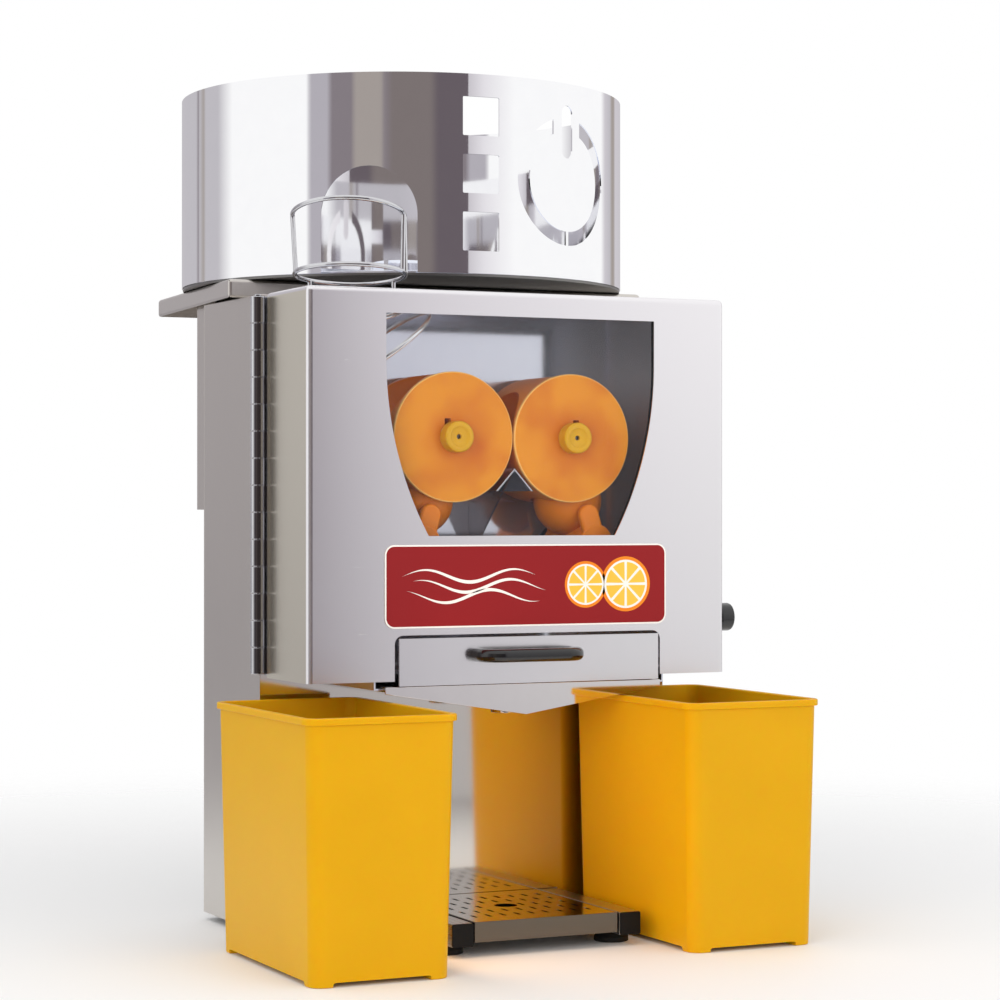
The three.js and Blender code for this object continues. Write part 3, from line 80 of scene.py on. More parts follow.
# %% Camera
focal_length = 97.33
film_width = 36
camera_place = (-1059.7, -2170.8, 389.4)
heading = 25.524  # degrees from straight ahead, to the right
rise = 0.1755  # degrees above level

lens = bpy.data.cameras.new("camera")
lens.lens = focal_length
lens.sensor_width = film_width
camera = bpy.data.objects.new("camera", lens)
bpy.context.scene.collection.objects.link(camera)
camera.location = row(*camera_place)
yaw, pitch = math.radians(heading), math.radians(rise)
aim = Vector((math.sin(yaw) * math.cos(pitch), math.cos(yaw) * math.cos(pitch), math.sin(pitch)))
camera.rotation_mode = "QUATERNION"
camera.rotation_quaternion = aim.to_track_quat("-Z", "Y")
bpy.context.scene.camera = camera
bpy.context.scene.view_settings.view_transform = "Standard"
print("camera at", [round(c, 3) for c in camera.location], "metres")

# %% [markdown]
# ## Colours and nodes
# Colours are written as the sRGB hex values that a picture editor shows. Blender mixes light in linear
# values, so one function turns the first into the second. One more function adds a node, sets its values
# and links its sockets, which keeps every material below short. Values that are the same all over a surface
# are set on the shader's own sockets, because an exported model keeps only those.

# %% Colour and node helpers


def linear(code, alpha=1):
    """An sRGB hex colour as linear red, green, blue and alpha."""
    shares = [int(code[i : i + 2], 16) / 255 for i in (1, 3, 5)]
    return [s / 12.92 if s <= 0.04045 else ((s + 0.055) / 1.055) ** 2.4 for s in shares] + [alpha]


def add_node(tree, kind, inputs=None, **settings):
    """Adds a node. An input is a value, or another node's output to link to."""
    node = tree.nodes.new(kind)
    for name, value in settings.items():
        setattr(node, name, value)
    for socket, value in (inputs or {}).items():
        if isinstance(value, bpy.types.NodeSocket):
            tree.links.new(value, node.inputs[socket])
        else:
            node.inputs[socket].default_value = value
    return node


def new_finish(name, colour, metallic, roughness):
    """A material with one shader whose uniform values sit on its own sockets."""
    finish = bpy.data.materials.new(name)
    finish.use_nodes = True
    finish.diffuse_color = linear(colour)
    shader = finish.node_tree.nodes["Principled BSDF"]
    shader.inputs["Base Color"].default_value = linear(colour)
    shader.inputs["Metallic"].default_value = metallic
    shader.inputs["Roughness"].default_value = roughness
    return finish, finish.node_tree, shader


def adjust(finish, values):
    """Sets uniform values on the sockets of a finish's shader."""
    sockets = finish.node_tree.nodes["Principled BSDF"].inputs
    for name, value in values.items():
        sockets[name].default_value = value


def tint(finish, share, code):
    """Turns the colour of a finish to another one where the share, a node's output, rises to 1."""
    tree = finish.node_tree
    base = tree.nodes["Principled BSDF"].inputs["Base Color"]
    tone = add_node(
        tree,
        "ShaderNodeMix",
        {0: share, 6: base.links[0].from_socket, 7: linear(code)},
        data_type="RGBA",
    )
    tree.links.new(tone.outputs[2], base)


# %% [markdown]
# ## Brushed stainless steel
# The cabinet is stainless sheet, ground with a belt of about 240 grit. Real scratches are some 0.05 mm
# apart, too fine for this picture, so they are drawn about 0.9 mm apart. The grain is one noise, stretched
# 60 mm along the belt's way. It shifts the tone a little, opens the gloss and lifts a very small bump. A
# second noise, 90 mm across, adds faint clouds. The trays look darker than the cabinet in the photograph,
# so their colour is written darker.

# %% Brushed stainless


def brushed_stainless(name, colour, shade, roughness, grain, scratch=0.9, stroke=60, clouds=90):
    """Ground sheet steel: grain is the axis along which the belt ran. Sizes are in mm."""
    finish, tree, shader = new_finish(name, colour, 1, roughness)
    place = add_node(tree, "ShaderNodeTexCoord")
    scale = [1 / ((stroke if axis == grain else scratch) * MM) for axis in "xyz"]
    drawn = add_node(tree, "ShaderNodeMapping", {"Vector": place.outputs["Object"], "Scale": scale})
    fine = add_node(
        tree, "ShaderNodeTexNoise", {"Vector": drawn.outputs["Vector"], "Scale": 1, "Detail": 4}
    )
    cloud = add_node(
        tree,
        "ShaderNodeTexNoise",
        {"Vector": place.outputs["Object"], "Scale": 1 / (clouds * MM), "Detail": 2},
    )
    both = add_node(
        tree,
        "ShaderNodeMix",
        {0: 0.35, 2: fine.outputs["Fac"], 3: cloud.outputs["Fac"]},
        data_type="FLOAT",
    )
    tone = add_node(
        tree,
        "ShaderNodeMix",
        {0: both.outputs[0], 6: linear(shade), 7: linear(colour)},
        data_type="RGBA",
    )
    gloss = add_node(
        tree,
        "ShaderNodeMapRange",
        {"Value": both.outputs[0], "To Min": roughness - 0.05, "To Max": roughness + 0.07},
    )
    lift = add_node(
        tree,
        "ShaderNodeBump",
        {"Height": fine.outputs["Fac"], "Strength": 0.04, "Distance": 0.02 * MM},
    )
    tree.links.new(tone.outputs[2], shader.inputs["Base Color"])
    tree.links.new(gloss.outputs["Result"], shader.inputs["Roughness"])
    tree.links.new(lift.outputs["Normal"], shader.inputs["Normal"])
    return finish


door_steel = brushed_stainless("brushed_stainless_door", "#F6F4F6", "#F0EDF0", 0.24, "x")
body_steel = brushed_stainless("brushed_stainless_body", "#DAD5CF", "#D0CBC5", 0.3, "z")
# painted shade: the trays take the cabinet's ground steel, written much darker
tray_steel = brushed_stainless("brushed_stainless_trays", "#6F675C", "#665E55", 0.2, "y")
frame_steel = brushed_stainless("brushed_stainless_legs", "#CFCDCB", "#BFBCB9", 0.28, "y")
column_steel = brushed_stainless("brushed_stainless_column", "#DAD5CF", "#D0CBC5", 0.3, "z")
print("materials in the file:", len(bpy.data.materials))

# %% [markdown]
# Two sheets don't look alike all over. The door's left side looks warmer than its front; that warmth is a
# painted reflection, a warm tint given by the face's direction. The column's front is taken for sheet that
# is smooth as it comes from the mill, so that it mirrors the bins, while its sides are ground like the rest.
# A separate material for each face would work, but the surface's own direction tells the faces apart just
# as well. The door's range is narrow, so that the round fold beside the front keeps the front's colour.

# %% Faces of the door and the column


def looking(tree, axis, low, high):
    """The share, 0 to 1, by which a face looks along an axis: it rises from low to high."""
    normal = add_node(tree, "ShaderNodeNewGeometry").outputs["Normal"]
    part = add_node(tree, "ShaderNodeSeparateXYZ", {0: normal}).outputs[axis]
    share = add_node(tree, "ShaderNodeMapRange", {"Value": part, "From Min": low, "From Max": high})
    return share.outputs["Result"]


# painted reflection: the door's left side is tinted warm by the direction it faces
tint(door_steel, looking(door_steel.node_tree, "X", -0.97, -0.995), "#F4F0DE")

smooth_roughness = 0.07
column_tree = column_steel.node_tree
column_shader = column_tree.nodes["Principled BSDF"]
ground = column_shader.inputs["Roughness"].links[0].from_socket
smooth = add_node(
    column_tree,
    "ShaderNodeMix",
    {0: looking(column_tree, "Y", -0.7, -0.95), 2: ground, 3: smooth_roughness},
    data_type="FLOAT",
)
column_tree.links.new(smooth.outputs[0], column_shader.inputs["Roughness"])

# %% [markdown]
# ## Polished steel and chrome
# The drum is the same steel, buffed to a mirror. A rolled sheet is never quite true, so its picture of the
# room wavers: a slow noise, some 110 mm across, tilts the surface by a hair. The chamber, the drawer, the
# juice tray and the grille keep the bright face of rolled sheet, which mirrors a little less sharply. The
# wires and the hinge are bright chrome, with the fine ripple that wire keeps from its drawing die.
#
# The chamber and the guide's wires lie in a small space behind the pane. As pure mirrors they would come
# out darker than in the photograph. They are metal by a share of 0.82 and 0.75 only, so they scatter a
# little light too.

# %% Polished steel and chrome


def bright_metal(name, colour, shade, roughness, wave, height):
    """Mirror metal: wave is the size in mm of its unevenness, and height how far it stands."""
    finish, tree, shader = new_finish(name, colour, 1, roughness)
    place = add_node(tree, "ShaderNodeTexCoord")
    slow = add_node(
        tree,
        "ShaderNodeTexNoise",
        {"Vector": place.outputs["Object"], "Scale": 1 / (wave * MM), "Detail": 1},
    )
    haze = add_node(
        tree,
        "ShaderNodeTexNoise",
        {"Vector": place.outputs["Object"], "Scale": 1 / (wave * MM / 6), "Detail": 4},
    )
    tone = add_node(
        tree,
        "ShaderNodeMix",
        {0: haze.outputs["Fac"], 6: linear(shade), 7: linear(colour)},
        data_type="RGBA",
    )
    gloss = add_node(
        tree,
        "ShaderNodeMapRange",
        {"Value": haze.outputs["Fac"], "To Min": roughness * 0.7, "To Max": roughness * 1.4},
    )
    lift = add_node(
        tree,
        "ShaderNodeBump",
        {"Height": slow.outputs["Fac"], "Strength": 0.3, "Distance": height * MM},
    )
    tree.links.new(tone.outputs[2], shader.inputs["Base Color"])
    tree.links.new(gloss.outputs["Result"], shader.inputs["Roughness"])
    tree.links.new(lift.outputs["Normal"], shader.inputs["Normal"])
    return finish


drum_steel = bright_metal("polished_stainless_drum", "#FAFAFB", "#F6F6F8", 0.04, 110, 0.3)
chamber_steel = bright_metal("bright_rolled_stainless", "#F0F3FD", "#E8ECF8", 0.09, 90, 0.1)
adjust(chamber_steel, {"Metallic": 0.82})
drawer_steel = bright_metal("bright_rolled_stainless_drawer", "#F0EEF0", "#EAE8EA", 0.16, 90, 0.1)
pan_steel = bright_metal("bright_rolled_stainless_tray", "#EDE9E8", "#E7E3E2", 0.05, 90, 0.1)
grille_steel = bright_metal("bright_rolled_stainless_grille", "#D4CFC9", "#CCC7C1", 0.14, 60, 0.05)
blade_steel = bright_metal("polished_stainless_blade", "#DADADD", "#CDCDD1", 0.12, 40, 0.1)
wire_chrome = bright_metal("chromed_wire", "#DDDDDF", "#CFCFD3", 0.06, 12, 0.03)
guide_chrome = bright_metal("chromed_guide_wire", "#F6F6F8", "#ECECEE", 0.2, 12, 0.03)
adjust(guide_chrome, {"Metallic": 0.75})
hinge_chrome = bright_metal("chromed_hinge", "#D9D9DC", "#C6C6CA", 0.1, 20, 0.05)
dark_steel = bright_metal("machined_steel", "#8B8987", "#7B7977", 0.35, 8, 0.02)
print("materials in the file:", len(bpy.data.materials))

# %% [markdown]
# A round barrel of chrome squeezes the whole room into a few millimetres: bright at both edges, with a dark
# band down the middle where it mirrors the unlit part of the room. The barrel is only a few pixels wide, so
# the band is helped by colour: the chrome darkens where it faces forward and a little left in the room.

# %% Dark band of the hinge's barrel
band_way = (-0.43, -0.9, 0)
band_edge, band_full = 0.83, 0.91
hinge_tree = hinge_chrome.node_tree
hinge_normal = add_node(hinge_tree, "ShaderNodeNewGeometry").outputs["Normal"]
toward_band = add_node(
    hinge_tree,
    "ShaderNodeVectorMath",
    {0: hinge_normal, 1: band_way},
    operation="DOT_PRODUCT",
)
in_band = add_node(
    hinge_tree,
    "ShaderNodeMapRange",
    {"Value": toward_band.outputs["Value"], "From Min": band_edge, "From Max": band_full},
)
tint(hinge_chrome, in_band.outputs["Result"], "#6E6A6C")

# %% [markdown]
# ## Moulded plastics
# The bins are polypropylene, the handle and caps are ABS, and the pressing parts are acetal, a waxy plastic
# that takes food acids. All are moulded: the tool leaves a faint texture of about 1 mm, and thick walls
# mottle the colour over some centimetres. Light goes a little way into the yellow, orange and natural
# ones, so they get some subsurface.
#
# The bins glow most: light wanders some 3 mm through their thin walls, the red of it furthest. Their shine
# is held low, so that the pale room lays less of a grey veil over the yellow. The black ABS is glossier
# than the rest, with the clear skin that a polished mould gives.

# %% Moulded plastic


def moulded_plastic(name, colour, shade, roughness, texture, height, depth=0.0, coat=0.0, mottle=70):
    """texture and mottle are sizes in mm, and depth is the share of light that goes inside."""
    finish, tree, shader = new_finish(name, colour, 0, roughness)
    shader.inputs["IOR"].default_value = 1.49
    shader.inputs["Coat Weight"].default_value = coat
    shader.inputs["Coat Roughness"].default_value = 0.08
    shader.inputs["Subsurface Weight"].default_value = depth
    shader.inputs["Subsurface Scale"].default_value = 2 * MM
    place = add_node(tree, "ShaderNodeTexCoord")
    grain = add_node(
        tree,
        "ShaderNodeTexNoise",
        {"Vector": place.outputs["Object"], "Scale": 1 / (texture * MM), "Detail": 2},
    )
    flow = add_node(
        tree,
        "ShaderNodeTexNoise",
        {"Vector": place.outputs["Object"], "Scale": 1 / (mottle * MM), "Detail": 2},
    )
    tone = add_node(
        tree,
        "ShaderNodeMix",
        {0: flow.outputs["Fac"], 6: linear(shade), 7: linear(colour)},
        data_type="RGBA",
    )
    gloss = add_node(
        tree,
        "ShaderNodeMapRange",
        {"Value": grain.outputs["Fac"], "To Min": roughness * 0.85, "To Max": roughness * 1.15},
    )
    lift = add_node(
        tree,
        "ShaderNodeBump",
        {"Height": grain.outputs["Fac"], "Strength": 0.15, "Distance": height * MM},
    )
    tree.links.new(tone.outputs[2], shader.inputs["Base Color"])
    tree.links.new(gloss.outputs["Result"], shader.inputs["Roughness"])
    tree.links.new(lift.outputs["Normal"], shader.inputs["Normal"])
    return finish


bin_plastic = moulded_plastic("yellow_polypropylene", "#DAA50F", "#D39E0C", 0.34, 1.2, 0.03, 0.75)
adjust(
    bin_plastic,
    {
        "Subsurface Scale": 3 * MM,
        "Subsurface Radius": (1, 0.35, 0.08),
        "Specular IOR Level": 0.1,
    },
)
press_plastic = moulded_plastic("orange_acetal", "#E8861C", "#DE7A16", 0.4, 1.0, 0.03, 0.15)
adjust(press_plastic, {"Specular IOR Level": 0.3})
knob_plastic = moulded_plastic("yellow_acetal", "#D8A416", "#CE9911", 0.35, 0.9, 0.02, 0.05)
adjust(knob_plastic, {"Specular IOR Level": 0.3})
black_abs = moulded_plastic("black_abs", "#121214", "#0D0D0F", 0.14, 0.8, 0.02, 0, 0.5)
cap_plastic = moulded_plastic("black_polyethylene", "#0E0E0F", "#0A0A0B", 0.45, 0.8, 0.03)
adjust(cap_plastic, {"Specular IOR Level": 0.2})
black_rubber = moulded_plastic("black_rubber", "#1B1B1B", "#151515", 0.8, 0.6, 0.06)
nylon = moulded_plastic("natural_nylon", "#E8E4D8", "#DDD8C9", 0.5, 0.8, 0.02, 0.1)
green_abs = moulded_plastic("green_abs", "#1F8A3C", "#1A7D35", 0.35, 0.8, 0.02)
red_abs = moulded_plastic("red_abs", "#B3201C", "#A61B18", 0.35, 0.8, 0.02)
print("materials in the file:", len(bpy.data.materials))

# %% [markdown]
# The gearbox and the bearing plate are cast aluminium. A casting takes the texture of its mould as a
# plastic does, only coarser, so the same function serves, with its shader turned to metal.

# %% Cast aluminium
cast_alloy = moulded_plastic("cast_aluminium", "#9A9C9F", "#8C8E91", 0.5, 1.6, 0.1)
adjust(cast_alloy, {"Metallic": 1, "IOR": 1.5})

# %% [markdown]
# ## The window's polycarbonate
# The pane is 3 mm of clear polycarbonate, and the chamber shows through it almost undimmed. Full refraction
# would cost many bounces for a flat sheet that bends nothing, so the sheet is let through by its alpha and
# keeps a weak shine and a trace of grey blue. A slow noise makes the shine waver as a plastic sheet does.

# %% Polycarbonate
pane_finish, pane_tree, pane_shader = new_finish("clear_polycarbonate", "#5D6570", 0, 0.03)
pane_shader.inputs["IOR"].default_value = 1.58
pane_shader.inputs["Alpha"].default_value = 0.05
pane_shader.inputs["Specular IOR Level"].default_value = 0.25
pane_place = add_node(pane_tree, "ShaderNodeTexCoord")
pane_wave = add_node(
    pane_tree,
    "ShaderNodeTexNoise",
    {"Vector": pane_place.outputs["Object"], "Scale": 1 / (60 * MM), "Detail": 1},
)
pane_lift = add_node(
    pane_tree,
    "ShaderNodeBump",
    {"Height": pane_wave.outputs["Fac"], "Strength": 0.1, "Distance": 0.1 * MM},
)
pane_tone = add_node(
    pane_tree,
    "ShaderNodeMix",
    {0: pane_wave.outputs["Fac"], 6: linear("#555D69"), 7: linear("#666E78")},
    data_type="RGBA",
)
pane_tree.links.new(pane_tone.outputs[2], pane_shader.inputs["Base Color"])
pane_tree.links.new(pane_lift.outputs["Normal"], pane_shader.inputs["Normal"])

# %% [markdown]
# ## Finishes for the CAD pieces
# Many CAD solids are flat sheet with the right shape already. They stay, take a finish in their material
# slot, and get a narrow rounded edge from a modifier, because real sheet never ends in a knife edge and
# that thin highlight is what tells the eye that it is metal.

# %% Dress the CAD pieces
finish_of_node = {
    "column_housing": column_steel,
    "rear_cover": body_steel,
    "crossbar": frame_steel,
    "chamber_frame": chamber_steel,
    "wedge_blade": blade_steel,
    "feed_guide": guide_chrome,
    "bearing_plate": cast_alloy,
    "drive_shelf": dark_steel,
    "gearbox": cast_alloy,
    "drive_motor": dark_steel,
    "feeder_saddle": body_steel,
    "feeder_support": body_steel,
    "feeder_motor": dark_steel,
    "drum_wall": drum_steel,
    "drum_floor": dark_steel,
    "drop_cage": wire_chrome,
    "control_panel": black_abs,
    "power_inlet": black_abs,
    "start_button": green_abs,
    "stop_button": red_abs,
    "feed_rotor": chamber_steel,
    "door_shell": door_steel,
    "window_pane": pane_finish,
    "door_pull": black_abs,
    "door_hinge_leaf": hinge_chrome,
    "column_hinge_leaf": hinge_chrome,
    "hinge_pin": hinge_chrome,
    "peel_bin_left": bin_plastic,
    "peel_bin_right": bin_plastic,
    "filter_drawer": drawer_steel,
    "drawer_handle": black_abs,
    "strainer": chamber_steel,
    "juice_tray": pan_steel,
    "drip_tray": tray_steel,
    "drip_grille": grille_steel,
    "label_plate": red_abs,
}
for side in ("left", "right"):
    finish_of_node |= {
        f"leg_{side}": frame_steel,
        f"leg_cap_{side}": cap_plastic,
        f"front_foot_{side}": black_rubber,
        f"rear_foot_{side}": black_rubber,
        f"upper_drum_{side}": press_plastic,
        f"front_disc_{side}": press_plastic,
        f"fixing_knob_{side}": knob_plastic,
        f"upper_shaft_{side}": dark_steel,
        f"upper_gear_{side}": nylon,
        f"ball_unit_{side}": press_plastic,
        f"lower_shaft_{side}": dark_steel,
        f"lower_gear_{side}": nylon,
    }
for name, finish in finish_of_node.items():
    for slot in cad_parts[name].material_slots:
        slot.material = finish
print("finishes given to", len(finish_of_node), "of", len(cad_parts), "CAD nodes")

# %% Round the edges of the flat sheet pieces
edge_width = {
    "column_housing": 0.5,
    "rear_cover": 0.5,
    "chamber_frame": 0.5,
    "wedge_blade": 0.4,
    "feeder_support": 0.5,
    "filter_drawer": 0.45,
    "juice_tray": 0.45,
    "drip_tray": 0.4,
    "drip_grille": 0.25,
    "strainer": 0.2,
    "crossbar": 0.5,
    "leg_left": 0.7,
    "leg_right": 0.7,
    "leg_cap_left": 0.6,
    "leg_cap_right": 0.6,
    "control_panel": 0.6,
    "power_inlet": 0.5,
}
for name, width in edge_width.items():
    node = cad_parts[name]
    weld = node.modifiers.new("weld", "WELD")
    weld.merge_threshold = 0.002 * MM
    edge = node.modifiers.new("edge", "BEVEL")
    edge.width = width * MM
    edge.segments = 2
    edge.limit_method = "ANGLE"
    edge.angle_limit = math.radians(40)
    edge.harden_normals = True
print("edges rounded on", len(edge_width), "CAD nodes")

# %% [markdown]
# ## Building a piece
# A round piece in a CAD file is faceted, which shows in a mirror finish. Those are made again here with
# many more steps, in the same place, and stand in for their CAD node. Three ways of making a mesh serve
# nearly all of them: a profile turned round an axis, an outline run along an axis, and a circle swept along
# a path.

# %% Mesh helpers


def bare(name, points, faces):
    """A loose mesh object from points in the machine's millimetres."""
    mesh = bpy.data.meshes.new(name)
    mesh.from_pydata([row(*p) for p in points], [], faces)
    tidy = bmesh.new()
    tidy.from_mesh(mesh)
    bmesh.ops.recalc_face_normals(tidy, faces=tidy.faces)
    tidy.to_mesh(mesh)
    tidy.free()
    made = bpy.data.objects.new(name, mesh)
    bpy.context.scene.collection.objects.link(made)
    return made


def along(axis, u, v, w):
    """A point whose w runs along the axis, with u and v across it."""
    return {"x": (w, u, v), "y": (u, w, v), "z": (u, v, w)}[axis]


def turned(name, profile, axis, centre, steps=96, closed=False):
    """A profile of (radius, place along the axis), turned round the axis through centre (u, v)."""
    points, rows, faces = [], [], []
    for radius, place in profile:
        count = steps if radius else 1
        rows.append([len(points) + k for k in range(count)])
        for k in range(count):
            angle = 2 * math.pi * k / steps
            u = centre[0] + radius * math.cos(angle)
            v = centre[1] + radius * math.sin(angle)
            points.append(along(axis, u, v, place))
    for low, high in zip(rows, rows[1:] + (rows[:1] if closed else [])):
        for k in range(steps):
            corner = [low[k % len(low)], low[(k + 1) % len(low)]]
            corner += [high[(k + 1) % len(high)], high[k % len(high)]]
            faces.append(list(dict.fromkeys(corner)))
    return bare(name, points, faces)


def run(name, outline, axis, low, high):
    """A closed outline of (u, v) points, run along the axis from low to high."""
    count = len(outline)
    points = [along(axis, u, v, w) for w in (low, high) for u, v in outline]
    sides = [[k, (k + 1) % count, count + (k + 1) % count, count + k] for k in range(count)]
    return bare(name, points, [list(range(count)), list(range(count, 2 * count)), *sides])


def swept(name, path, radius, closed=False, sides=16):
    """A round wire along a path. Each ring is carried on from the last, so the wire never twists."""
    path = [Vector(p) for p in path]
    count = len(path)
    points, faces = [], []
    across = None
    for k, here in enumerate(path):
        before = path[k - 1] if closed or k else here
        after = path[(k + 1) % count] if closed or k + 1 < count else here
        ahead = (after - before).normalized()
        if across is None:
            across = ahead.orthogonal().normalized()
        across = (across - ahead * across.dot(ahead)).normalized()
        other = ahead.cross(across)
        for s in range(sides):
            angle = 2 * math.pi * s / sides
            points.append(here + (across * math.cos(angle) + other * math.sin(angle)) * radius)
    for k in range(count if closed else count - 1):
        for s in range(sides):
            a = k * sides + s
            b = k * sides + (s + 1) % sides
            c = (k + 1) % count * sides
            faces.append([a, b, c + (s + 1) % sides, c + s])
    if not closed:
        faces += [list(range(sides)), list(range((count - 1) * sides, count * sides))]
    return bare(name, points, faces)


def rounded(u, v, radius, steps=10):
    """A rectangle with round corners, from its spans."""
    corners = [(u[1], v[1], 0), (u[0], v[1], 90), (u[0], v[0], 180), (u[1], v[0], 270)]
    points = []
    for cu, cv, start in corners:
        mu = cu - radius if cu == u[1] else cu + radius
        mv = cv - radius if cv == v[1] else cv + radius
        for k in range(steps + 1):
            angle = math.radians(start + 90 * k / steps)
            points.append((mu + radius * math.cos(angle), mv + radius * math.sin(angle)))
    return points


# %% [markdown]
# ## Cutting and finishing
# Holes are cut as a workshop cuts them: a tool in the shape of the hole is taken away from the piece. After
# that the edges are broken, and the shading is told which edges are sharp. Large flat faces then keep
# their own direction, and only the rounded edges turn the light.

# %% Cut, soften and set in place


def settle(made):
    """Applies the modifiers to the mesh."""
    graph = bpy.context.evaluated_depsgraph_get()
    mesh = bpy.data.meshes.new_from_object(made.evaluated_get(graph))
    made.modifiers.clear()
    made.data = mesh
    return made


def combine(made, others, way="DIFFERENCE"):
    """Cuts the others from a piece, or joins them to it, and removes them."""
    for other in others:
        step = made.modifiers.new("step", "BOOLEAN")
        step.operation = way
        step.solver = "EXACT"
        step.object = other
        settle(made)
        bpy.data.objects.remove(other)
    return made


def soften(made, width, steps=3, angle=40):
    """Breaks the edges of a piece by a small round."""
    edge = made.modifiers.new("edge", "BEVEL")
    edge.width = width * MM
    edge.segments = steps
    edge.limit_method = "ANGLE"
    edge.angle_limit = math.radians(angle)
    return settle(made)


def set_in_place(made, body, finish, slot, *nodes, angle=40):
    """Shades a finished piece, sets it on its body and lets it stand for its CAD nodes."""
    made.data.shade_smooth()
    made.data.set_sharp_from_angle(angle=math.radians(angle))
    even = made.modifiers.new("even", "WEIGHTED_NORMAL")
    even.keep_sharp = True
    settle(made)
    made.data.materials.clear()
    made.data.materials.append(finish)
    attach(made, body)
    if nodes:
        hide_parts(*nodes)
    return made


# %% [markdown]
# ## The door
# The door is one sheet of 1.2 mm steel, folded on three sides, so its corners are round by about 5 mm and
# catch a bright line beside a dark one. Two folded boxes, one inside the other, give the sheet. The window,
# the drawer's opening and the open middle of the top are then cut out of it.

# %% Door shell
sheet = 1.2
fold = 5
overcut = 4
lip = 12  # the sheet that the open top leaves along the front and the sides
drawer_hole_x, drawer_hole_z = (-125, 139), (225, 278)
drawer_hole_corner = 8
door_x, door_y, door_z = span("door_shell")


def folded_box(name, x, y, z, radius):
    """A box whose front, top and side folds are round."""
    points = [(a, b, c) for a in x for b in y for c in z]
    faces = [[0, 1, 3, 2], [4, 6, 7, 5], [0, 4, 5, 1], [2, 3, 7, 6], [0, 2, 6, 4], [1, 5, 7, 3]]
    made = bare(name, points, faces)
    front, top = row(*[s[0] for s in (x, y, z)]).y, row(*[s[1] for s in (x, y, z)]).z
    shape = bmesh.new()
    shape.from_mesh(made.data)
    folds = []
    for edge in shape.edges:
        middle = (edge.verts[0].co + edge.verts[1].co) / 2
        at_front = abs(middle.y - front) < MM
        at_top = abs(middle.z - top) < MM
        on_side = abs(abs(middle.x - datum.x - (x[0] + x[1]) / 2 * MM) - (x[1] - x[0]) / 2 * MM) < MM
        if at_front + at_top + on_side == 2:
            folds.append(edge)
    bmesh.ops.bevel(
        shape,
        geom=folds,
        offset=radius * MM,
        segments=5,
        profile=0.5,
        affect="EDGES",
        clamp_overlap=True,
    )
    shape.to_mesh(made.data)
    shape.free()
    return made


def window_outline(margin=0, steps=48):
    """Upright above, drawn in below like a glass: the same numbers as the opening in the CAD door."""
    side, bend, radius = 133 + margin, 520, 317 + margin
    bottom, top = 365 - margin, 560.3 + margin
    sweep = math.asin((bend - bottom) / radius)
    right = [
        (side - radius + radius * math.cos(a), bend - radius * math.sin(a))
        for a in (sweep * k / steps for k in range(steps + 1))
    ]
    return [(side, top), *right, *[(-u, v) for u, v in reversed(right)], (-side, top)]


shell = folded_box("door_sheet", door_x, door_y, door_z, fold)
inner_x = (door_x[0] + sheet, door_x[1] - sheet)
inner_y = (sheet, door_y[1] + overcut)
inner_z = (door_z[0] - overcut, door_z[1] - sheet)
hollow = folded_box("hollow", inner_x, inner_y, inner_z, fold - sheet)
top_x = (door_x[0] + lip, door_x[1] - lip)
top_y = (lip, door_y[1] + 2 * overcut)
top_open = run("top_open", rounded(top_x, top_y, 2), "z", door_z[1] - overcut, door_z[1] + overcut)
window = run("window", window_outline(), "y", -overcut, sheet + overcut)
drawer_outline = rounded(drawer_hole_x, drawer_hole_z, drawer_hole_corner)
drawer_open = run("drawer_open", drawer_outline, "y", -overcut, sheet + overcut)
combine(shell, [hollow, top_open, window, drawer_open])
set_in_place(shell, "door", door_steel, "satin_stainless", "door_shell", angle=35)
print("door sheet:", len(shell.data.polygons), "faces")

# %% [markdown]
# A black rubber seal lies behind the pane round the opening. Its black also stands in for the shade in the
# narrow gap between the door sheet and the pane: from the left its inner side shows through the pane at the
# opening's right edge as a thin dark line. It is a flat ring: a wide window outline with the opening's own
# outline cut out of it.

# %% Window seal, dark also for the shade in the gap
seal_outer, seal_inner = 5, 0.4  # beyond the edge of the opening
seal_low, seal_high = 0.1, 1.5  # behind the pane
pane_back = span("window_pane")[1][1]
# painted shade: the black seal also draws the shaded gap behind the opening's edge
seal_and_gap_shade = run("window_seal_and_gap_shade", window_outline(seal_outer), "y", pane_back + seal_low, pane_back + seal_high)
seal_opening = run("seal_opening", window_outline(seal_inner), "y", pane_back - 1, pane_back + 3)
combine(seal_and_gap_shade, [seal_opening])
set_in_place(seal_and_gap_shade, "door", black_rubber, "black_rubber")
print("seal:", len(seal_and_gap_shade.data.polygons), "faces")

# %% [markdown]
# ## The label
# A red plate with round corners and a thin white edge is stuck to the door. It carries a plain motif only:
# two round slices, drawn as flat discs with segments, and a few flowing lines. Each layer of print is a
# flat piece, 0.02 to 0.1 mm proud of the one below, as screen printing builds up.

# %% Label plate
label_x, label_y, label_z = span("label_plate")
label_red = moulded_plastic("red_label_print", "#8E161A", "#881418", 0.5, 0.7, 0.01)
label_white = moulded_plastic("white_label_print", "#F1EDE6", "#E8E3DB", 0.5, 0.7, 0.01)
label_orange = moulded_plastic("orange_label_print", "#F08A1D", "#E67A12", 0.5, 0.7, 0.01)
label_yellow = moulded_plastic("yellow_label_print", "#F9C24A", "#F5B53A", 0.5, 0.7, 0.01)
for print_finish in (label_red, label_white, label_orange, label_yellow):
    adjust(print_finish, {"Specular IOR Level": 0.2})
label_corner = 9
white_edge = 1.4
plate = run("label_edge", rounded(label_x, label_z, label_corner), "y", label_y[0] + 0.2, label_y[1])
set_in_place(plate, "door", label_white, "red_label", "label_plate")
red_x = (label_x[0] + white_edge, label_x[1] - white_edge)
red_z = (label_z[0] + white_edge, label_z[1] - white_edge)
red_outline = rounded(red_x, red_z, label_corner - white_edge)
field = run("label_field", red_outline, "y", label_y[0] + 0.1, label_y[0] + 0.25)
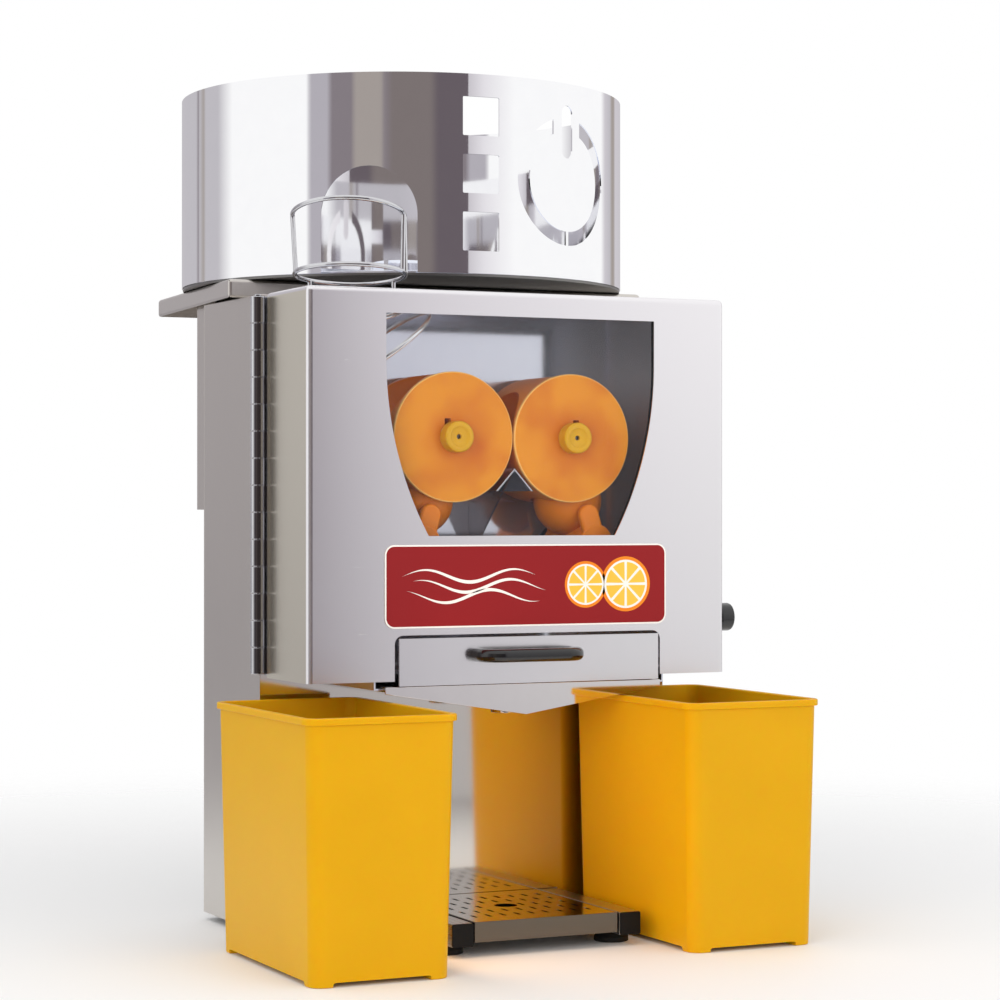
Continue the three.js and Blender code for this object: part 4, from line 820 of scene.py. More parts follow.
set_in_place(field, "door", label_red, "red_label")
print("label plate:", [round(s[1] - s[0], 1) for s in (label_x, label_z)], "mm")

# %% [markdown]
# A slice is a peel, a pith and eight segments, each a flat piece on the one below. The lines are ribbons
# that follow a sine wave and swell in their middle, as a brush stroke does.

# %% Label motif
slices = [(62, 21), (103, 25)]  # the middle, to the right of the door's middle, and the radius
segments = 8
segment_fill = 0.84  # the share of its eighth that a segment fills
pith_share, flesh_share, tip_share = 0.88, 0.8, 0.1  # shares of a slice's radius
strokes = [(9, 0), (0, 10), (-9, 4)]  # how far each lies above the middle and is moved to the right
stroke_left, stroke_length = -118, 130
stroke_half, stroke_wave, stroke_waves = 1.5, 5.5, 1.5
stroke_steps = 60


def disc(name, u, v, radius, low, high, steps=64):
    """A flat disc on the door's face."""
    circle = [(2 * math.pi * k / steps) for k in range(steps)]
    return run(name, [(u + radius * math.cos(a), v + radius * math.sin(a)) for a in circle], "y", low, high)


layer = label_y[0] + 0.12
label_middle = (label_z[0] + label_z[1]) / 2
for number, (place, size) in enumerate(slices):
    peel = disc(f"motif_peel_{number}", place, label_middle, size, layer - 0.04, layer)
    set_in_place(peel, "door", label_orange, "red_label")
    pith_size = size * pith_share
    pith = disc(f"motif_pith_{number}", place, label_middle, pith_size, layer - 0.07, layer - 0.04)
    set_in_place(pith, "door", label_white, "red_label")
    for wedge in range(segments):
        middle = 2 * math.pi * (wedge + 0.5) / segments
        half_width = math.pi / segments * segment_fill
        turns = [middle - half_width + 2 * half_width * k / 8 for k in range(9)]
        tip, flesh = size * tip_share, size * flesh_share
        outline = [(place + tip * math.cos(middle), label_middle + tip * math.sin(middle))]
        outline += [(place + flesh * math.cos(a), label_middle + flesh * math.sin(a)) for a in turns]
        part = run(f"motif_segment_{number}_{wedge}", outline, "y", layer - 0.09, layer - 0.07)
        set_in_place(part, "door", label_yellow, "red_label")

for number, (above, aside) in enumerate(strokes):
    crest, trough = [], []
    for k in range(stroke_steps + 1):
        share = k / stroke_steps
        u = stroke_left + aside + stroke_length * share
        wave = stroke_wave * math.sin(2 * math.pi * stroke_waves * share + number)
        thick = stroke_half * math.sin(math.pi * share)
        crest.append((u, label_middle + above + wave + thick))
        trough.append((u, label_middle + above + wave - thick))
    outline = crest + trough[-2:0:-1]
    line = run(f"motif_line_{number}", outline, "y", layer - 0.05, layer)
    set_in_place(line, "door", label_white, "red_label")
print("motif:", len(slices), "slices and", len(strokes), "strokes")

# %% [markdown]
# ## The hinge
# A piano hinge runs down the door's left side. Its knuckles are short tubes rolled from the two leaves by
# turns. Each tube is turned with a small chamfer, so that the joints between them show as dark rings, and
# each knuckle keeps the flat web that carries it.

# %% Hinge knuckles, leaves and pin
hinge_x, hinge_y = -212.3, 107.0
leaf_x = (-205.3, -204.1)
hinge_z = span("door_hinge_leaf")[2]
knuckles = 14
knuckle_gap = 0.5
pitch_z = (hinge_z[1] - hinge_z[0]) / knuckles
barrel, chamfer, bore = 6.8, 0.5, 2.2
web_cover = 0.6  # between the bore and the start of the web


def hinge_leaf(name, leaf_y, web_y, first):
    """One leaf with every second knuckle."""
    solids = []
    for k in range(first, knuckles, 2):
        low = hinge_z[0] + k * pitch_z + knuckle_gap / 2
        high = hinge_z[0] + (k + 1) * pitch_z - knuckle_gap / 2
        profile = [(bore, low), (barrel - chamfer, low), (barrel, low + chamfer)]
        profile += [(barrel, high - chamfer), (barrel - chamfer, high), (bore, high)]
        solids.append(turned("knuckle", profile, "z", (hinge_x, hinge_y), 40, closed=True))
        start = hinge_x + bore + web_cover
        web = [(start, web_y[0]), (leaf_x[1], web_y[0]), (leaf_x[1], web_y[1]), (start, web_y[1])]
        solids.append(run("web", web, "z", low, high))
    outline = [(leaf_x[i], leaf_y[j]) for i, j in ((0, 0), (1, 0), (1, 1), (0, 1))]
    leaf = run(name, outline, "z", *hinge_z)
    return combine(leaf, solids, "UNION")


door_leaf = hinge_leaf("hinge_leaf_of_door", (83.6, 103.6), (101.4, 103.6), 0)
set_in_place(door_leaf, "door", hinge_chrome, "chromed_wire", "door_hinge_leaf")
column_leaf = hinge_leaf("hinge_leaf_of_column", (110.1, 116.7), (110.1, 112.3), 1)
set_in_place(column_leaf, "base", hinge_chrome, "chromed_wire", "column_hinge_leaf")
pin_radius, head_radius, head_top_radius = 1.9, 3.4, 2.6
pin_low, pin_high = span("hinge_pin")[2]
pin_profile = [(0, pin_low), (pin_radius, pin_low), (pin_radius, pin_high - 1.5)]
pin_profile += [(head_radius, pin_high - 1.5), (head_radius, pin_high - 0.5)]
pin_profile += [(head_top_radius, pin_high), (0, pin_high)]
pin = turned("hinge_rod", pin_profile, "z", (hinge_x, hinge_y), 32)
set_in_place(pin, "base", hinge_chrome, "chromed_wire", "hinge_pin")
print("hinge:", knuckles, "knuckles,", round(pitch_z, 1), "mm each")

# %% [markdown]
# ## The feeder drum
# The drum is a rolled band of 1.5 mm sheet, open at the top. Its openings are cut by laser, so their edges
# are square and bright. A mirror shows every facet, so the band has one step a degree, and the openings are
# cut by tools that run straight out from the drum's middle.

# %% Drum wall
drum_y = 273.3
drum_radius = 215
drum_sheet = 1.5
drum_inner = drum_radius - drum_sheet
drum_z = span("drum_wall")[2]
band = [(drum_inner, drum_z[0]), (drum_radius, drum_z[0])]
band += [(drum_radius, drum_z[1]), (drum_inner, drum_z[1])]
wall = turned("drum_band", band, "z", (0, drum_y), 360, closed=True)


def outward(name, outline, degrees):
    """A cutting tool: an outline of (across, up) points, run out from the drum's middle."""
    angle = math.radians(degrees)
    across = Vector((math.cos(angle), math.sin(angle), 0))
    out = Vector((math.sin(angle), -math.cos(angle), 0))
    centre = Vector((0, drum_y, 0))
    count = len(outline)
    points = []
    for reach in (drum_radius - 60, drum_radius + 8):
        points += [centre + across * u + out * reach + Vector((0, 0, v)) for u, v in outline]
    sides = [[k, (k + 1) % count, count + (k + 1) % count, count + k] for k in range(count)]
    return bare(name, points, [list(range(count)), list(range(count, 2 * count)), *sides])


def arc(centre, radius, start, end, steps=24):
    """Points on a circle between two angles in degrees."""
    turns = [math.radians(start + (end - start) * k / steps) for k in range(steps + 1)]
    return [(centre[0] + radius * math.cos(a), centre[1] + radius * math.sin(a)) for a in turns]


arch_way, square_way, ring_way = -31.5, -3.7, 22.3  # degrees from straight in front, to the right

arch_half, arch_top = 44.3, 700
arch = [(-arch_half, drum_z[0] - 6), (arch_half, drum_z[0] - 6)]
arch += arc((0, arch_top - arch_half), arch_half, 0, 180, 40)
tools = [outward("arch", arch, arch_way)]

square_size, square_corner = 35.5, 1.2
square_lowest, square_pitch = 641.6, 52.5
for k in range(3):
    middle = square_lowest + square_pitch * k
    half = square_size / 2
    square = rounded((-half, half), (middle - half, middle + half), square_corner, 4)
    tools.append(outward("square", square, square_way))

ring_z, ring_out, ring_in = 693.5, 59.5, 46.5
bridge_half, mouth_half = 1.8, 18.2  # the bridge of sheet below and the ring's open mouth above
for side in (-1, 1):
    ends = []
    for radius in (ring_out, ring_in):
        below, above = math.acos(bridge_half / radius), math.acos(mouth_half / radius)
        ends.append((-math.degrees(below), math.degrees(above)))
    half_ring = arc((0, ring_z), ring_out, ends[0][0], ends[0][1], 48)
    half_ring += arc((0, ring_z), ring_in, ends[1][1], ends[1][0], 48)
    tools.append(outward("half_ring", [(side * u, v) for u, v in half_ring], ring_way))

stem_half, stem_z = 7.5, (715.3, 764.4)
stem = rounded((-stem_half, stem_half), stem_z, stem_half - 0.01, 12)
tools.append(outward("stem", stem, ring_way))
combine(wall, tools)


def round_normals(made, centre):
    """Gives the curved faces of an upright cylinder their true direction at each corner."""
    mesh = made.data
    normals = []
    for face in mesh.polygons:
        for loop in face.loop_indices:
            at = mesh.vertices[mesh.loops[loop].vertex_index].co - centre
            out = Vector((at.x, at.y, 0)).normalized()
            facing = face.normal.dot(out)
            normals.append(out * (1 if facing > 0 else -1) if abs(facing) > 0.9 else face.normal.copy())
    mesh.shade_smooth()
    mesh.normals_split_custom_set(normals)


round_normals(wall, row(0, drum_y, 0))
wall.data.materials.append(drum_steel)
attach(wall, "base")
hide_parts("drum_wall")
print("drum band:", len(wall.data.polygons), "faces")

# %% [markdown]
# ## The feeder's saddle, floor and rotor
# Under the drum lies a shallow folded pan, and on it the drum's floor. The rotor is a disc with a cone-like
# hub and low fins that sweep round past the arch. The pan's folds, the disc's rim and the hub are rounded.

# %% Saddle, floor and rotor
saddle_x, saddle_y, saddle_z = span("feeder_saddle")
rear_half = 192
saddle_fold = 3.5
shaft_hole_radius = 6.6
floor_radius = 214


def saddle_outline(inset=0):
    """The pan narrows a little towards its back."""
    front, back = saddle_y[0] + inset, saddle_y[1] - inset
    wide, narrow = saddle_x[1] - inset, rear_half - inset
    return [(-wide, front), (wide, front), (narrow, back), (-narrow, back)]


saddle = soften(run("saddle_pan", saddle_outline(), "z", *saddle_z), saddle_fold, 5, 60)
under = run("under", saddle_outline(sheet), "z", saddle_z[0] - overcut, saddle_z[1] - sheet)
hole_low, hole_high = saddle_z[0] - 10, saddle_z[1] + 10
hole_profile = [(0, hole_low), (shaft_hole_radius, hole_low)]
hole_profile += [(shaft_hole_radius, hole_high), (0, hole_high)]
shaft_hole = turned("shaft_hole", hole_profile, "z", (0, drum_y), 32)
combine(saddle, [under, shaft_hole])
set_in_place(saddle, "base", body_steel, "satin_stainless", "feeder_saddle", angle=35)

floor_z = span("drum_floor")[2]
floor_profile = [(shaft_hole_radius, floor_z[0]), (floor_radius, floor_z[0])]
floor_profile += [(floor_radius, floor_z[1]), (shaft_hole_radius, floor_z[1])]
floor_plate = turned("feeder_floor", floor_profile, "z", (0, drum_y), 240, closed=True)
set_in_place(floor_plate, "base", dark_steel, "plain_steel", "drum_floor")

rotor_radius, rotor_sheet, rotor_shaft = 203, 2, 6
fin_count, fin_half, fin_height = 6, 2, 16.5
fin_start, fin_end = 20, 128
rotor_low, hub_top = span("feed_rotor")[2]
rotor_floor = floor_z[1] + 1
rotor_face = rotor_floor + rotor_sheet
rotor_profile = [(0, rotor_low), (rotor_shaft, rotor_low), (rotor_shaft, rotor_floor)]
rotor_profile += [(rotor_radius, rotor_floor), (rotor_radius, rotor_face - 0.4)]
rotor_profile += [(rotor_radius - 0.4, rotor_face), (34, rotor_face), (32, rotor_face + 1)]
rotor_profile += [(30.5, hub_top - 4), (29, hub_top - 1.2), (26.5, hub_top), (0, hub_top)]
rotor = turned("rotor_disc", rotor_profile, "z", (0, drum_y), 180)
fins = []
for k in range(fin_count):
    angle = 2 * math.pi * k / fin_count
    ahead = Vector((math.cos(angle), math.sin(angle)))
    aside = Vector((-ahead.y, ahead.x))
    outline = [
        Vector((0, drum_y)) + ahead * reach + aside * side * fin_half
        for reach, side in ((fin_start, -1), (fin_end, -1), (fin_end, 1), (fin_start, 1))
    ]
    fins.append(run("fin", outline, "z", rotor_floor + 1, rotor_face + fin_height))
combine(rotor, fins, "UNION")
set_in_place(rotor, "rotor", chamber_steel, "satin_stainless", "feed_rotor")
print("rotor:", fin_count, "fins,", 2 * rotor_radius, "mm across")

# %% [markdown]
# ## The wire cage and the guide
# In front of the arch stands a cage of 4.2 mm chromed wire, and below the drop hole hangs a guide of wire
# as thick. Each ring is a circle swept round a circle, set at its own tilt, and short wires join the rings.

# %% Wire helpers
wire = 2.1  # the wire's radius


def ring_at(centre, radius, tilt_x=0, tilt_y=0, turn_z=0):
    """A function that gives the point at an angle on a tilted ring. All angles are in degrees."""
    turn = Matrix.Rotation(math.radians(tilt_y), 3, "Y") @ Matrix.Rotation(math.radians(tilt_x), 3, "X")
    turn = Matrix.Rotation(math.radians(turn_z), 3, "Z") @ turn
    middle = Vector(centre)

    def at(degrees):
        angle = math.radians(degrees)
        return middle + turn @ Vector((radius * math.cos(angle), radius * math.sin(angle), 0))

    return at


def wire_set(name, wires, body, node, finish=wire_chrome):
    """Joins wires, each a path and whether it is closed, to one piece."""
    parts = [swept("wire", path, wire, closed) for path, closed in wires]
    made = combine(parts[0], parts[1:], "UNION")
    made.name = name
    return set_in_place(made, body, finish, "chromed_wire", node, angle=50)


def circle_of(at, start=0, end=360, steps=96):
    """Points round a ring."""
    last = 0 if end - start == 360 else 1
    return [at(start + (end - start) * k / steps) for k in range(steps + last)]


# %% Wire cage
drop_x, drop_y = -144.6, 55  # the middle of the drop hole
cage_turn = -25
chamber_top = span("chamber_frame")[2][1]
cage_ring = ring_at((drop_x, drop_y, 597.5), 49.2, tilt_x=-5.7, turn_z=cage_turn)
cage_hoop = ring_at((drop_x - 1.6, drop_y, 649.3), 49.7, tilt_x=-12.7, turn_z=cage_turn)
upright_angles = [(195, 180), (343, 352), (360, 360)]  # round the ring and round the hoop
wires = [(circle_of(cage_ring), True), (circle_of(cage_hoop, 180, 360, 64), False)]
wires += [([cage_ring(a), cage_hoop(b)], False) for a, b in upright_angles]
for a in (40, 90, 140):
    foot = cage_ring(a)
    wires.append(([foot, Vector((foot.x, foot.y, chamber_top + 0.3))], False))
cage = wire_set("cage_wires", wires, "base", "drop_cage")
print("cage:", len(wires), "wires,", len(cage.data.polygons), "faces")

# %% Wire guide
under_plate = chamber_top - 2
top_ring = ring_at((drop_x, drop_y, under_plate - 24.6), 47, tilt_y=-15.9)
low_ring = ring_at((-109.8, 58, under_plate - 41.5), 48.6, tilt_y=-38)
wires = [(circle_of(top_ring), True), (circle_of(low_ring), True)]
for a in (120, 180, 235):
    start = top_ring(a)
    wires.append(([start, low_ring(a)], False))
    wires.append(([start, Vector((start.x, start.y, under_plate - 0.3))], False))
guide = wire_set("guide_wires", wires, "base", "feed_guide", guide_chrome)
print("guide:", len(wires), "wires,", len(guide.data.polygons), "faces")

# %% [markdown]
# ## Turned acetal
# The smooth front discs are acetal, faced on a lathe. The tool leaves fine rings round the middle, drawn
# 1.4 mm apart here, because the real ones are too fine to show. Their orange is uneven: a deeper tone
# towards the middle, broken by soft clouds some 34 mm across. The last millimetre of the face is painted
# paler, a painted highlight along the disc's edge.

# %% Turned acetal
tool_ring = 1.4
acetal_cloud = 34
# where the face turns pale orange: a painted highlight along the disc's edge
highlight_rim_start, highlight_rim_end = 57.1, 57.7


def turned_acetal(name, x, z, colour, heart, reach):
    """A finish round the middle (x, z): the heart's colour fades out at reach."""
    finish, tree, shader = new_finish(name, colour, 0, 0.36)
    shader.inputs["IOR"].default_value = 1.48
    shader.inputs["Specular IOR Level"].default_value = 0.25
    shader.inputs["Subsurface Weight"].default_value = 0.05
    shader.inputs["Subsurface Scale"].default_value = 2 * MM
    centre = row(x, 0, z)
    place = add_node(tree, "ShaderNodeTexCoord")
    flat = add_node(
        tree, "ShaderNodeVectorMath", {0: place.outputs["Object"], 1: (1, 0, 1)}, operation="MULTIPLY"
    )
    away = add_node(
        tree,
        "ShaderNodeVectorMath",
        {0: flat.outputs[0], 1: (centre.x, 0, centre.z)},
        operation="DISTANCE",
    )
    share = add_node(
        tree,
        "ShaderNodeMapRange",
        {"Value": away.outputs["Value"], "From Min": 0, "From Max": reach * MM},
        interpolation_type="SMOOTHSTEP",
    )
    cloud = add_node(
        tree,
        "ShaderNodeTexNoise",
        {"Vector": place.outputs["Object"], "Scale": 1 / (acetal_cloud * MM), "Detail": 1.5},
    )
    cloudy = add_node(
        tree,
        "ShaderNodeMapRange",
        {"Value": cloud.outputs["Fac"], "From Min": 0.36, "From Max": 0.62, "To Min": 0.45, "To Max": 1.15},
        clamp=False,
    )
    depth = add_node(
        tree,
        "ShaderNodeMath",
        {0: share.outputs["Result"], 1: cloudy.outputs["Result"]},
        operation="MULTIPLY",
        use_clamp=True,
    )
    face = add_node(
        tree,
        "ShaderNodeMix",
        {0: depth.outputs[0], 6: linear(heart), 7: linear(colour)},
        data_type="RGBA",
    )
    # painted highlight: the last millimetre of the face is mixed to a pale orange
    rim = add_node(
        tree,
        "ShaderNodeMapRange",
        {"Value": away.outputs["Value"], "From Min": highlight_rim_start * MM, "From Max": highlight_rim_end * MM},
    )
    tone = add_node(
        tree,
        "ShaderNodeMix",
        {0: rim.outputs["Result"], 6: face.outputs[2], 7: linear("#F3BD6C")},
        data_type="RGBA",
    )
    rings = add_node(
        tree,
        "ShaderNodeMath",
        {0: away.outputs["Value"], 1: 2 * math.pi / (tool_ring * MM)},
        operation="MULTIPLY",
    )
    wave = add_node(tree, "ShaderNodeMath", {0: rings.outputs[0]}, operation="SINE")
    speck = add_node(
        tree,
        "ShaderNodeTexNoise",
        {"Vector": place.outputs["Object"], "Scale": 1 / (3 * MM), "Detail": 3},
    )
    gloss = add_node(
        tree,
        "ShaderNodeMapRange",
        {"Value": speck.outputs["Fac"], "To Min": 0.32, "To Max": 0.44},
    )
    lift = add_node(
        tree,
        "ShaderNodeBump",
        {"Height": wave.outputs[0], "Strength": 0.05, "Distance": 0.02 * MM},
    )
    tree.links.new(tone.outputs[2], shader.inputs["Base Color"])
    tree.links.new(gloss.outputs["Result"], shader.inputs["Roughness"])
    tree.links.new(lift.outputs["Normal"], shader.inputs["Normal"])
    return finish


# %% [markdown]
# ## The pressing drums
# Behind each smooth front disc turns a drum with three round cups, and a yellow knob holds both on their
# shaft. The lower units carry two balls each, which turn into the cups. Nearly all their forms are round,
# so they are built as turned solids. Spheres cut the cups, and a small square tool cuts the pocket of the
# key that shows beside each knob, where the photograph has it.

# %% Places of the shafts, and the two tools
upper_x, upper_z = 59, 453
lower_x, lower_z = 86.434, 358.571
lean = 16.2  # degrees from straight down, from an upper shaft to its lower shaft
ball_y = 62
key_reach, key_lean = 15, 20  # from the shaft, and in degrees from straight up, outwards
key_shift = (-1, -0.6)
key_half, key_corner = 3, 0.8


def ball(name, x, z, radius, steps=64):
    """A sphere whose middle lies in the plane of the cups."""
    turns = [math.pi * k / (steps // 2) for k in range(steps // 2 + 1)]
    profile = [(radius * math.sin(a), ball_y - radius * math.cos(a)) for a in turns]
    profile[0] = (0, ball_y - radius)
    profile[-1] = (0, ball_y + radius)
    return turned(name, profile, "y", (x, z), steps)


def key_outline(side):
    """The square of the key beside a knob."""
    angle = math.radians(90 - side * key_lean)
    u = side * upper_x + key_reach * math.cos(angle) + key_shift[0]
    v = upper_z + key_reach * math.sin(angle) + key_shift[1]
    return rounded((u - key_half, u + key_half), (v - key_half, v + key_half), key_corner, 4)


# %% Cupped drum and front disc
drum_bore = 9.3
drum_outer, drum_edge = 57.5, 0.8
drum_front, drum_back = 24, 100
cup_count, cup_reach, cup_radius = 3, 59, 34.5
disc_outer = 58.4
disc_front, disc_back = 20.0, 23.7


def cupped_drum(name, side, squeeze):
    """A drum with three cups, the first of which faces the ball at the angle squeeze."""
    x = side * upper_x
    rim = drum_outer - drum_edge
    profile = [(drum_bore, drum_front), (rim, drum_front), (drum_outer, drum_front + drum_edge)]
    profile += [(drum_outer, drum_back - drum_edge), (rim, drum_back), (drum_bore, drum_back)]
    drum = turned(f"cupped_drum_{name}", profile, "y", (x, upper_z), 128, closed=True)
    cuts = []
    for k in range(cup_count):
        angle = squeeze + 2 * math.pi * k / cup_count
        u, v = x + cup_reach * math.cos(angle), upper_z + cup_reach * math.sin(angle)
        cuts.append(ball("cup", u, v, cup_radius))
    cuts.append(run("key_pocket", key_outline(side), "y", drum_front - 7, drum_front + 12))
    combine(drum, cuts)
    body, node = f"upper_roller_{name}", f"upper_drum_{name}"
    return set_in_place(drum, body, press_plastic, "orange_acetal", node, angle=30)


def smooth_disc(name, side, finish):
    """The front disc: its edge has a wider round at the front than at the back."""
    x = side * upper_x
    profile = [(drum_bore, disc_back), (drum_bore, disc_front + 0.4), (drum_bore + 0.4, disc_front)]
    profile += [(disc_outer - 1.2, disc_front), (disc_outer - 0.3, disc_front + 0.5)]
    profile += [(disc_outer, disc_front + 1.3), (disc_outer, disc_back - 0.4)]
    profile += [(disc_outer - 0.4, disc_back)]
    plate = turned(f"smooth_disc_{name}", profile, "y", (x, upper_z), 160, closed=True)
    combine(plate, [run("key", key_outline(side), "y", disc_front - 3, disc_front + 7)])
    body, node = f"upper_roller_{name}", f"front_disc_{name}"
    return set_in_place(plate, body, finish, "orange_acetal", node, angle=50)


# %% Fixing knob and shaft
knob_front, knob_back = 6.5, 19.4
knob_radius, knob_dish_radius, knob_hole = 14, 7.6, 2.2
socket_radius, socket_front = 9.6, 11.4
shaft_radius, shaft_front = 9, 12


def quarter_turn_knob(name, side):
    """A round knob with a dished face and a small hole in its middle, open at the back for the shaft."""
    front, dish = knob_front, knob_front + 1.8
    profile = [(socket_radius, knob_back), (socket_radius, socket_front), (knob_hole, socket_front)]
    profile += [(knob_hole, front + 2.6), (knob_hole + 1, dish), (knob_dish_radius, dish)]
    profile += [(8.8, front + 0.5), (9.6, front), (12.2, front), (13.5, front + 0.6)]
    profile += [(knob_radius, front + 1.9), (knob_radius, knob_back)]
    place = (side * upper_x, upper_z)
    knob = turned(f"quarter_turn_knob_{name}", profile, "y", place, 72, closed=True)
    body, node = f"knob_{name}", f"fixing_knob_{name}"
    return set_in_place(knob, body, knob_plastic, "yellow_acetal", node, angle=50)


def drum_shaft(name, side):
    """The steel shaft, which ends where its CAD node ends."""
    node = f"upper_shaft_{name}"
    shaft_back = span(node)[1][1]
    profile = [(0, shaft_front), (shaft_radius - 0.6, shaft_front), (shaft_radius, shaft_front + 0.6)]
    profile += [(shaft_radius, shaft_back), (0, shaft_back)]
    shaft = turned(f"drum_shaft_{name}", profile, "y", (side * upper_x, upper_z), 48)
    return set_in_place(shaft, f"upper_roller_{name}", dark_steel, "plain_steel", node)


# %% Ball unit
hub_radius, hub_edge, hub_front, hub_back = 16, 0.8, 23, 101
ball_reach, ball_radius = 39.333, 31.5
arm_start, arm_end, arm_half = 6, 26, 10
arm_layers = ((23.3, 31), (93, 100.7))


def ball_unit(name, side, squeeze):
    """A hub with two balls, each held between two round-ended arms."""
    x = side * lower_x
    rim = hub_radius - hub_edge
    profile = [(0, hub_front), (rim, hub_front), (hub_radius, hub_front + hub_edge)]
    profile += [(hub_radius, hub_back - hub_edge), (rim, hub_back), (drum_bore, hub_back)]
    profile += [(drum_bore, hub_front + 2), (0, hub_front + 2)]
    hub = turned(f"ball_hub_{name}", profile, "y", (x, lower_z), 64)
    middle = Vector((x, lower_z))
    extra = []
    for k in range(2):
        angle = squeeze + math.pi + math.pi * k
        ahead = Vector((math.cos(angle), math.sin(angle)))
        aside = Vector((-ahead.y, ahead.x))
        at = middle + ahead * ball_reach
        extra.append(ball("press_ball", at.x, at.y, ball_radius))
        for low, high in arm_layers:
            round_end = arc((0, 0), arm_half, -90, 90, 16)
            tip = [middle + ahead * (arm_end + u) + aside * v for u, v in round_end]
            foot = [middle + ahead * arm_start + aside * v for v in (arm_half, -arm_half)]
            arm = run("arm", [*tip, *foot], "y", low, high)
            extra.append(soften(arm, 3, 4, 50))
    combine(hub, extra, "UNION")
    body, node = f"lower_roller_{name}", f"ball_unit_{name}"
    return set_in_place(hub, body, press_plastic, "orange_acetal", node, angle=30)


# %% The pressing parts on both sides
for side, name in ((-1, "left"), (1, "right")):
    squeeze = math.radians(-90 + side * lean)
    finish = turned_acetal(f"turned_acetal_{name}", side * upper_x, upper_z, "#E18E1E", "#CB680F", 46)
    drum = cupped_drum(name, side, squeeze)
    smooth_disc(name, side, finish)
    quarter_turn_knob(name, side)
    drum_shaft(name, side)
    unit = ball_unit(name, side, squeeze)
    print(name, "drum:", len(drum.data.polygons), "faces, ball unit:", len(unit.data.polygons), "faces")

# %% [markdown]
# ## The drawer's handle
# The handle is one black moulded bow. Its outline runs forward, across and back again with wide corners. A
# round of 5.3 mm on a bar of 12 mm leaves it nearly round, which gives the long highlight that a glossy
# grip shows. The bow is made a little too long towards the drawer, so that its ends are rounded outside the
# grip, and is then cut flat where it meets the plate.

# %% Bow handle
front, plate = span("drawer_handle")[1]
past_plate = 8
back = plate + past_plate
outer, thick, corner = 52.5, 12, 22
grip_round = 5.3
handle_z = 259.6
inner = outer - thick
small = corner - thick / 2
bow = [(-outer, back)]
bow += arc((-outer + corner, front + corner), corner, 180, 270, 12)
bow += arc((outer - corner, front + corner), corner, 270, 360, 12)
bow += [(outer, back), (inner, back)]
bow += arc((inner - small, front + thick + small), small, 0, -90, 10)
bow += arc((-inner + small, front + thick + small), small, -90, -180, 10)
bow += [(-inner, back)]
handle = run("bow_grip", bow, "z", handle_z - thick / 2, handle_z + thick / 2)
soften(handle, grip_round, 7, 50)
beyond = rounded((-outer - past_plate, outer + past_plate), (plate, plate + 2 * past_plate), 1)
combine(handle, [run("beyond", beyond, "z", handle_z - 2 * thick, handle_z + 2 * thick)])
set_in_place(handle, "drawer", black_abs, "black_abs", "drawer_handle", angle=50)
print("handle:", 2 * outer, "mm long,", len(handle.data.polygons), "faces")

# %% [markdown]
# ## The peel bins
# The bins are deep injection-moulded boxes with a slight draft, round corners and a flat rim band. Each is
# lofted from rounded outlines, one above the other: up the outside, over the rim and down the inside. The
# two relief cuts leave four feet at the corners.

# %% Peel bins
bin_width, bin_depth = 123.6, 215.8  # at the foot
draft = 4
rim_height = 5.8
relief_inset, relief_height, relief_corner = 18, 4, 2.5
relief_overrun = 9


def lofted(name, levels):
    """Joins outlines of the same count, each at its height, and caps both ends."""
    count = len(levels[0][0])
    points = [(u, v, z) for outline, z in levels for u, v in outline]
    faces = [list(range(count)), list(range(len(points) - count, len(points)))]
    for level in range(len(levels) - 1):
        for k in range(count):
            a = level * count + k
            b = level * count + (k + 1) % count
            faces.append([a, b, b + count, a + count])
    return bare(name, points, faces)


def peel_bin(name, node):
    """A bin in the place of its CAD node."""
    x, y, z = span(node)
    middle_x, middle_y = (x[0] + x[1]) / 2, (y[0] + y[1]) / 2
    top = z[1]
    rim_low = top - rim_height

    def reach(middle, size, grow):
        return (middle - size / 2 - grow, middle + size / 2 + grow)

    def outline(grow, corner):
        return rounded(reach(middle_x, bin_width, grow), reach(middle_y, bin_depth, grow), corner, 12)

    def side(height):
        return draft * height / rim_low

    levels = [
        (outline(-1.2, 10.8), 0.0),
        (outline(-0.3, 11.7), 0.35),
        (outline(side(1.4), 12), 1.4),
        (outline(side(rim_low - 1), 12), rim_low - 1),
        (outline(4.2, 12.2), rim_low - 0.25),
        (outline(4.9, 12.9), rim_low),
        (outline(6.5, 14.5), rim_low),
        (outline(7, 15), rim_low + 0.5),
        (outline(7, 15), top - 1.2),
        (outline(6.65, 14.65), top - 0.35),
        (outline(5.8, 13.8), top),
        (outline(2.7, 10.7), top),
        (outline(1.85, 9.85), top - 0.35),
        (outline(1.5, 9.5), top - 1.2),
        (outline(-2.4, 9.6), 9.5),
        (outline(-3.4, 8.6), 7.2),
        (outline(-5.5, 6.5), 6.5),
    ]
    made = lofted(name, levels)
    relief_z = (-relief_overrun, relief_height)
    relief_x = reach(middle_x, bin_width, -relief_inset)
    relief_y = reach(middle_y, bin_depth, -relief_inset)
    along_y = (y[0] - relief_overrun, y[1] + relief_overrun)
    along_x = (x[0] - relief_overrun, x[1] + relief_overrun)
    cuts = [
        run("long_cut", rounded(relief_x, relief_z, relief_corner, 6), "y", *along_y),
        run("wide_cut", rounded(relief_y, relief_z, relief_corner, 6), "x", *along_x),
    ]
    return combine(made, cuts)


for name in ("left", "right"):
    node = f"peel_bin_{name}"
    made = peel_bin(f"moulded_bin_{name}", node)
    set_in_place(made, f"bin_{name}", bin_plastic, "yellow_polypropylene", node, angle=50)
    print(node, len(made.data.polygons), "faces")

# %% [markdown]
# ## Feet, pull knob and buttons
# These small turned parts show their edges from every side. A rubber foot flares to the worktop, the pull
# is a plain black knob, and a push button is dished a little so that a finger finds its middle.

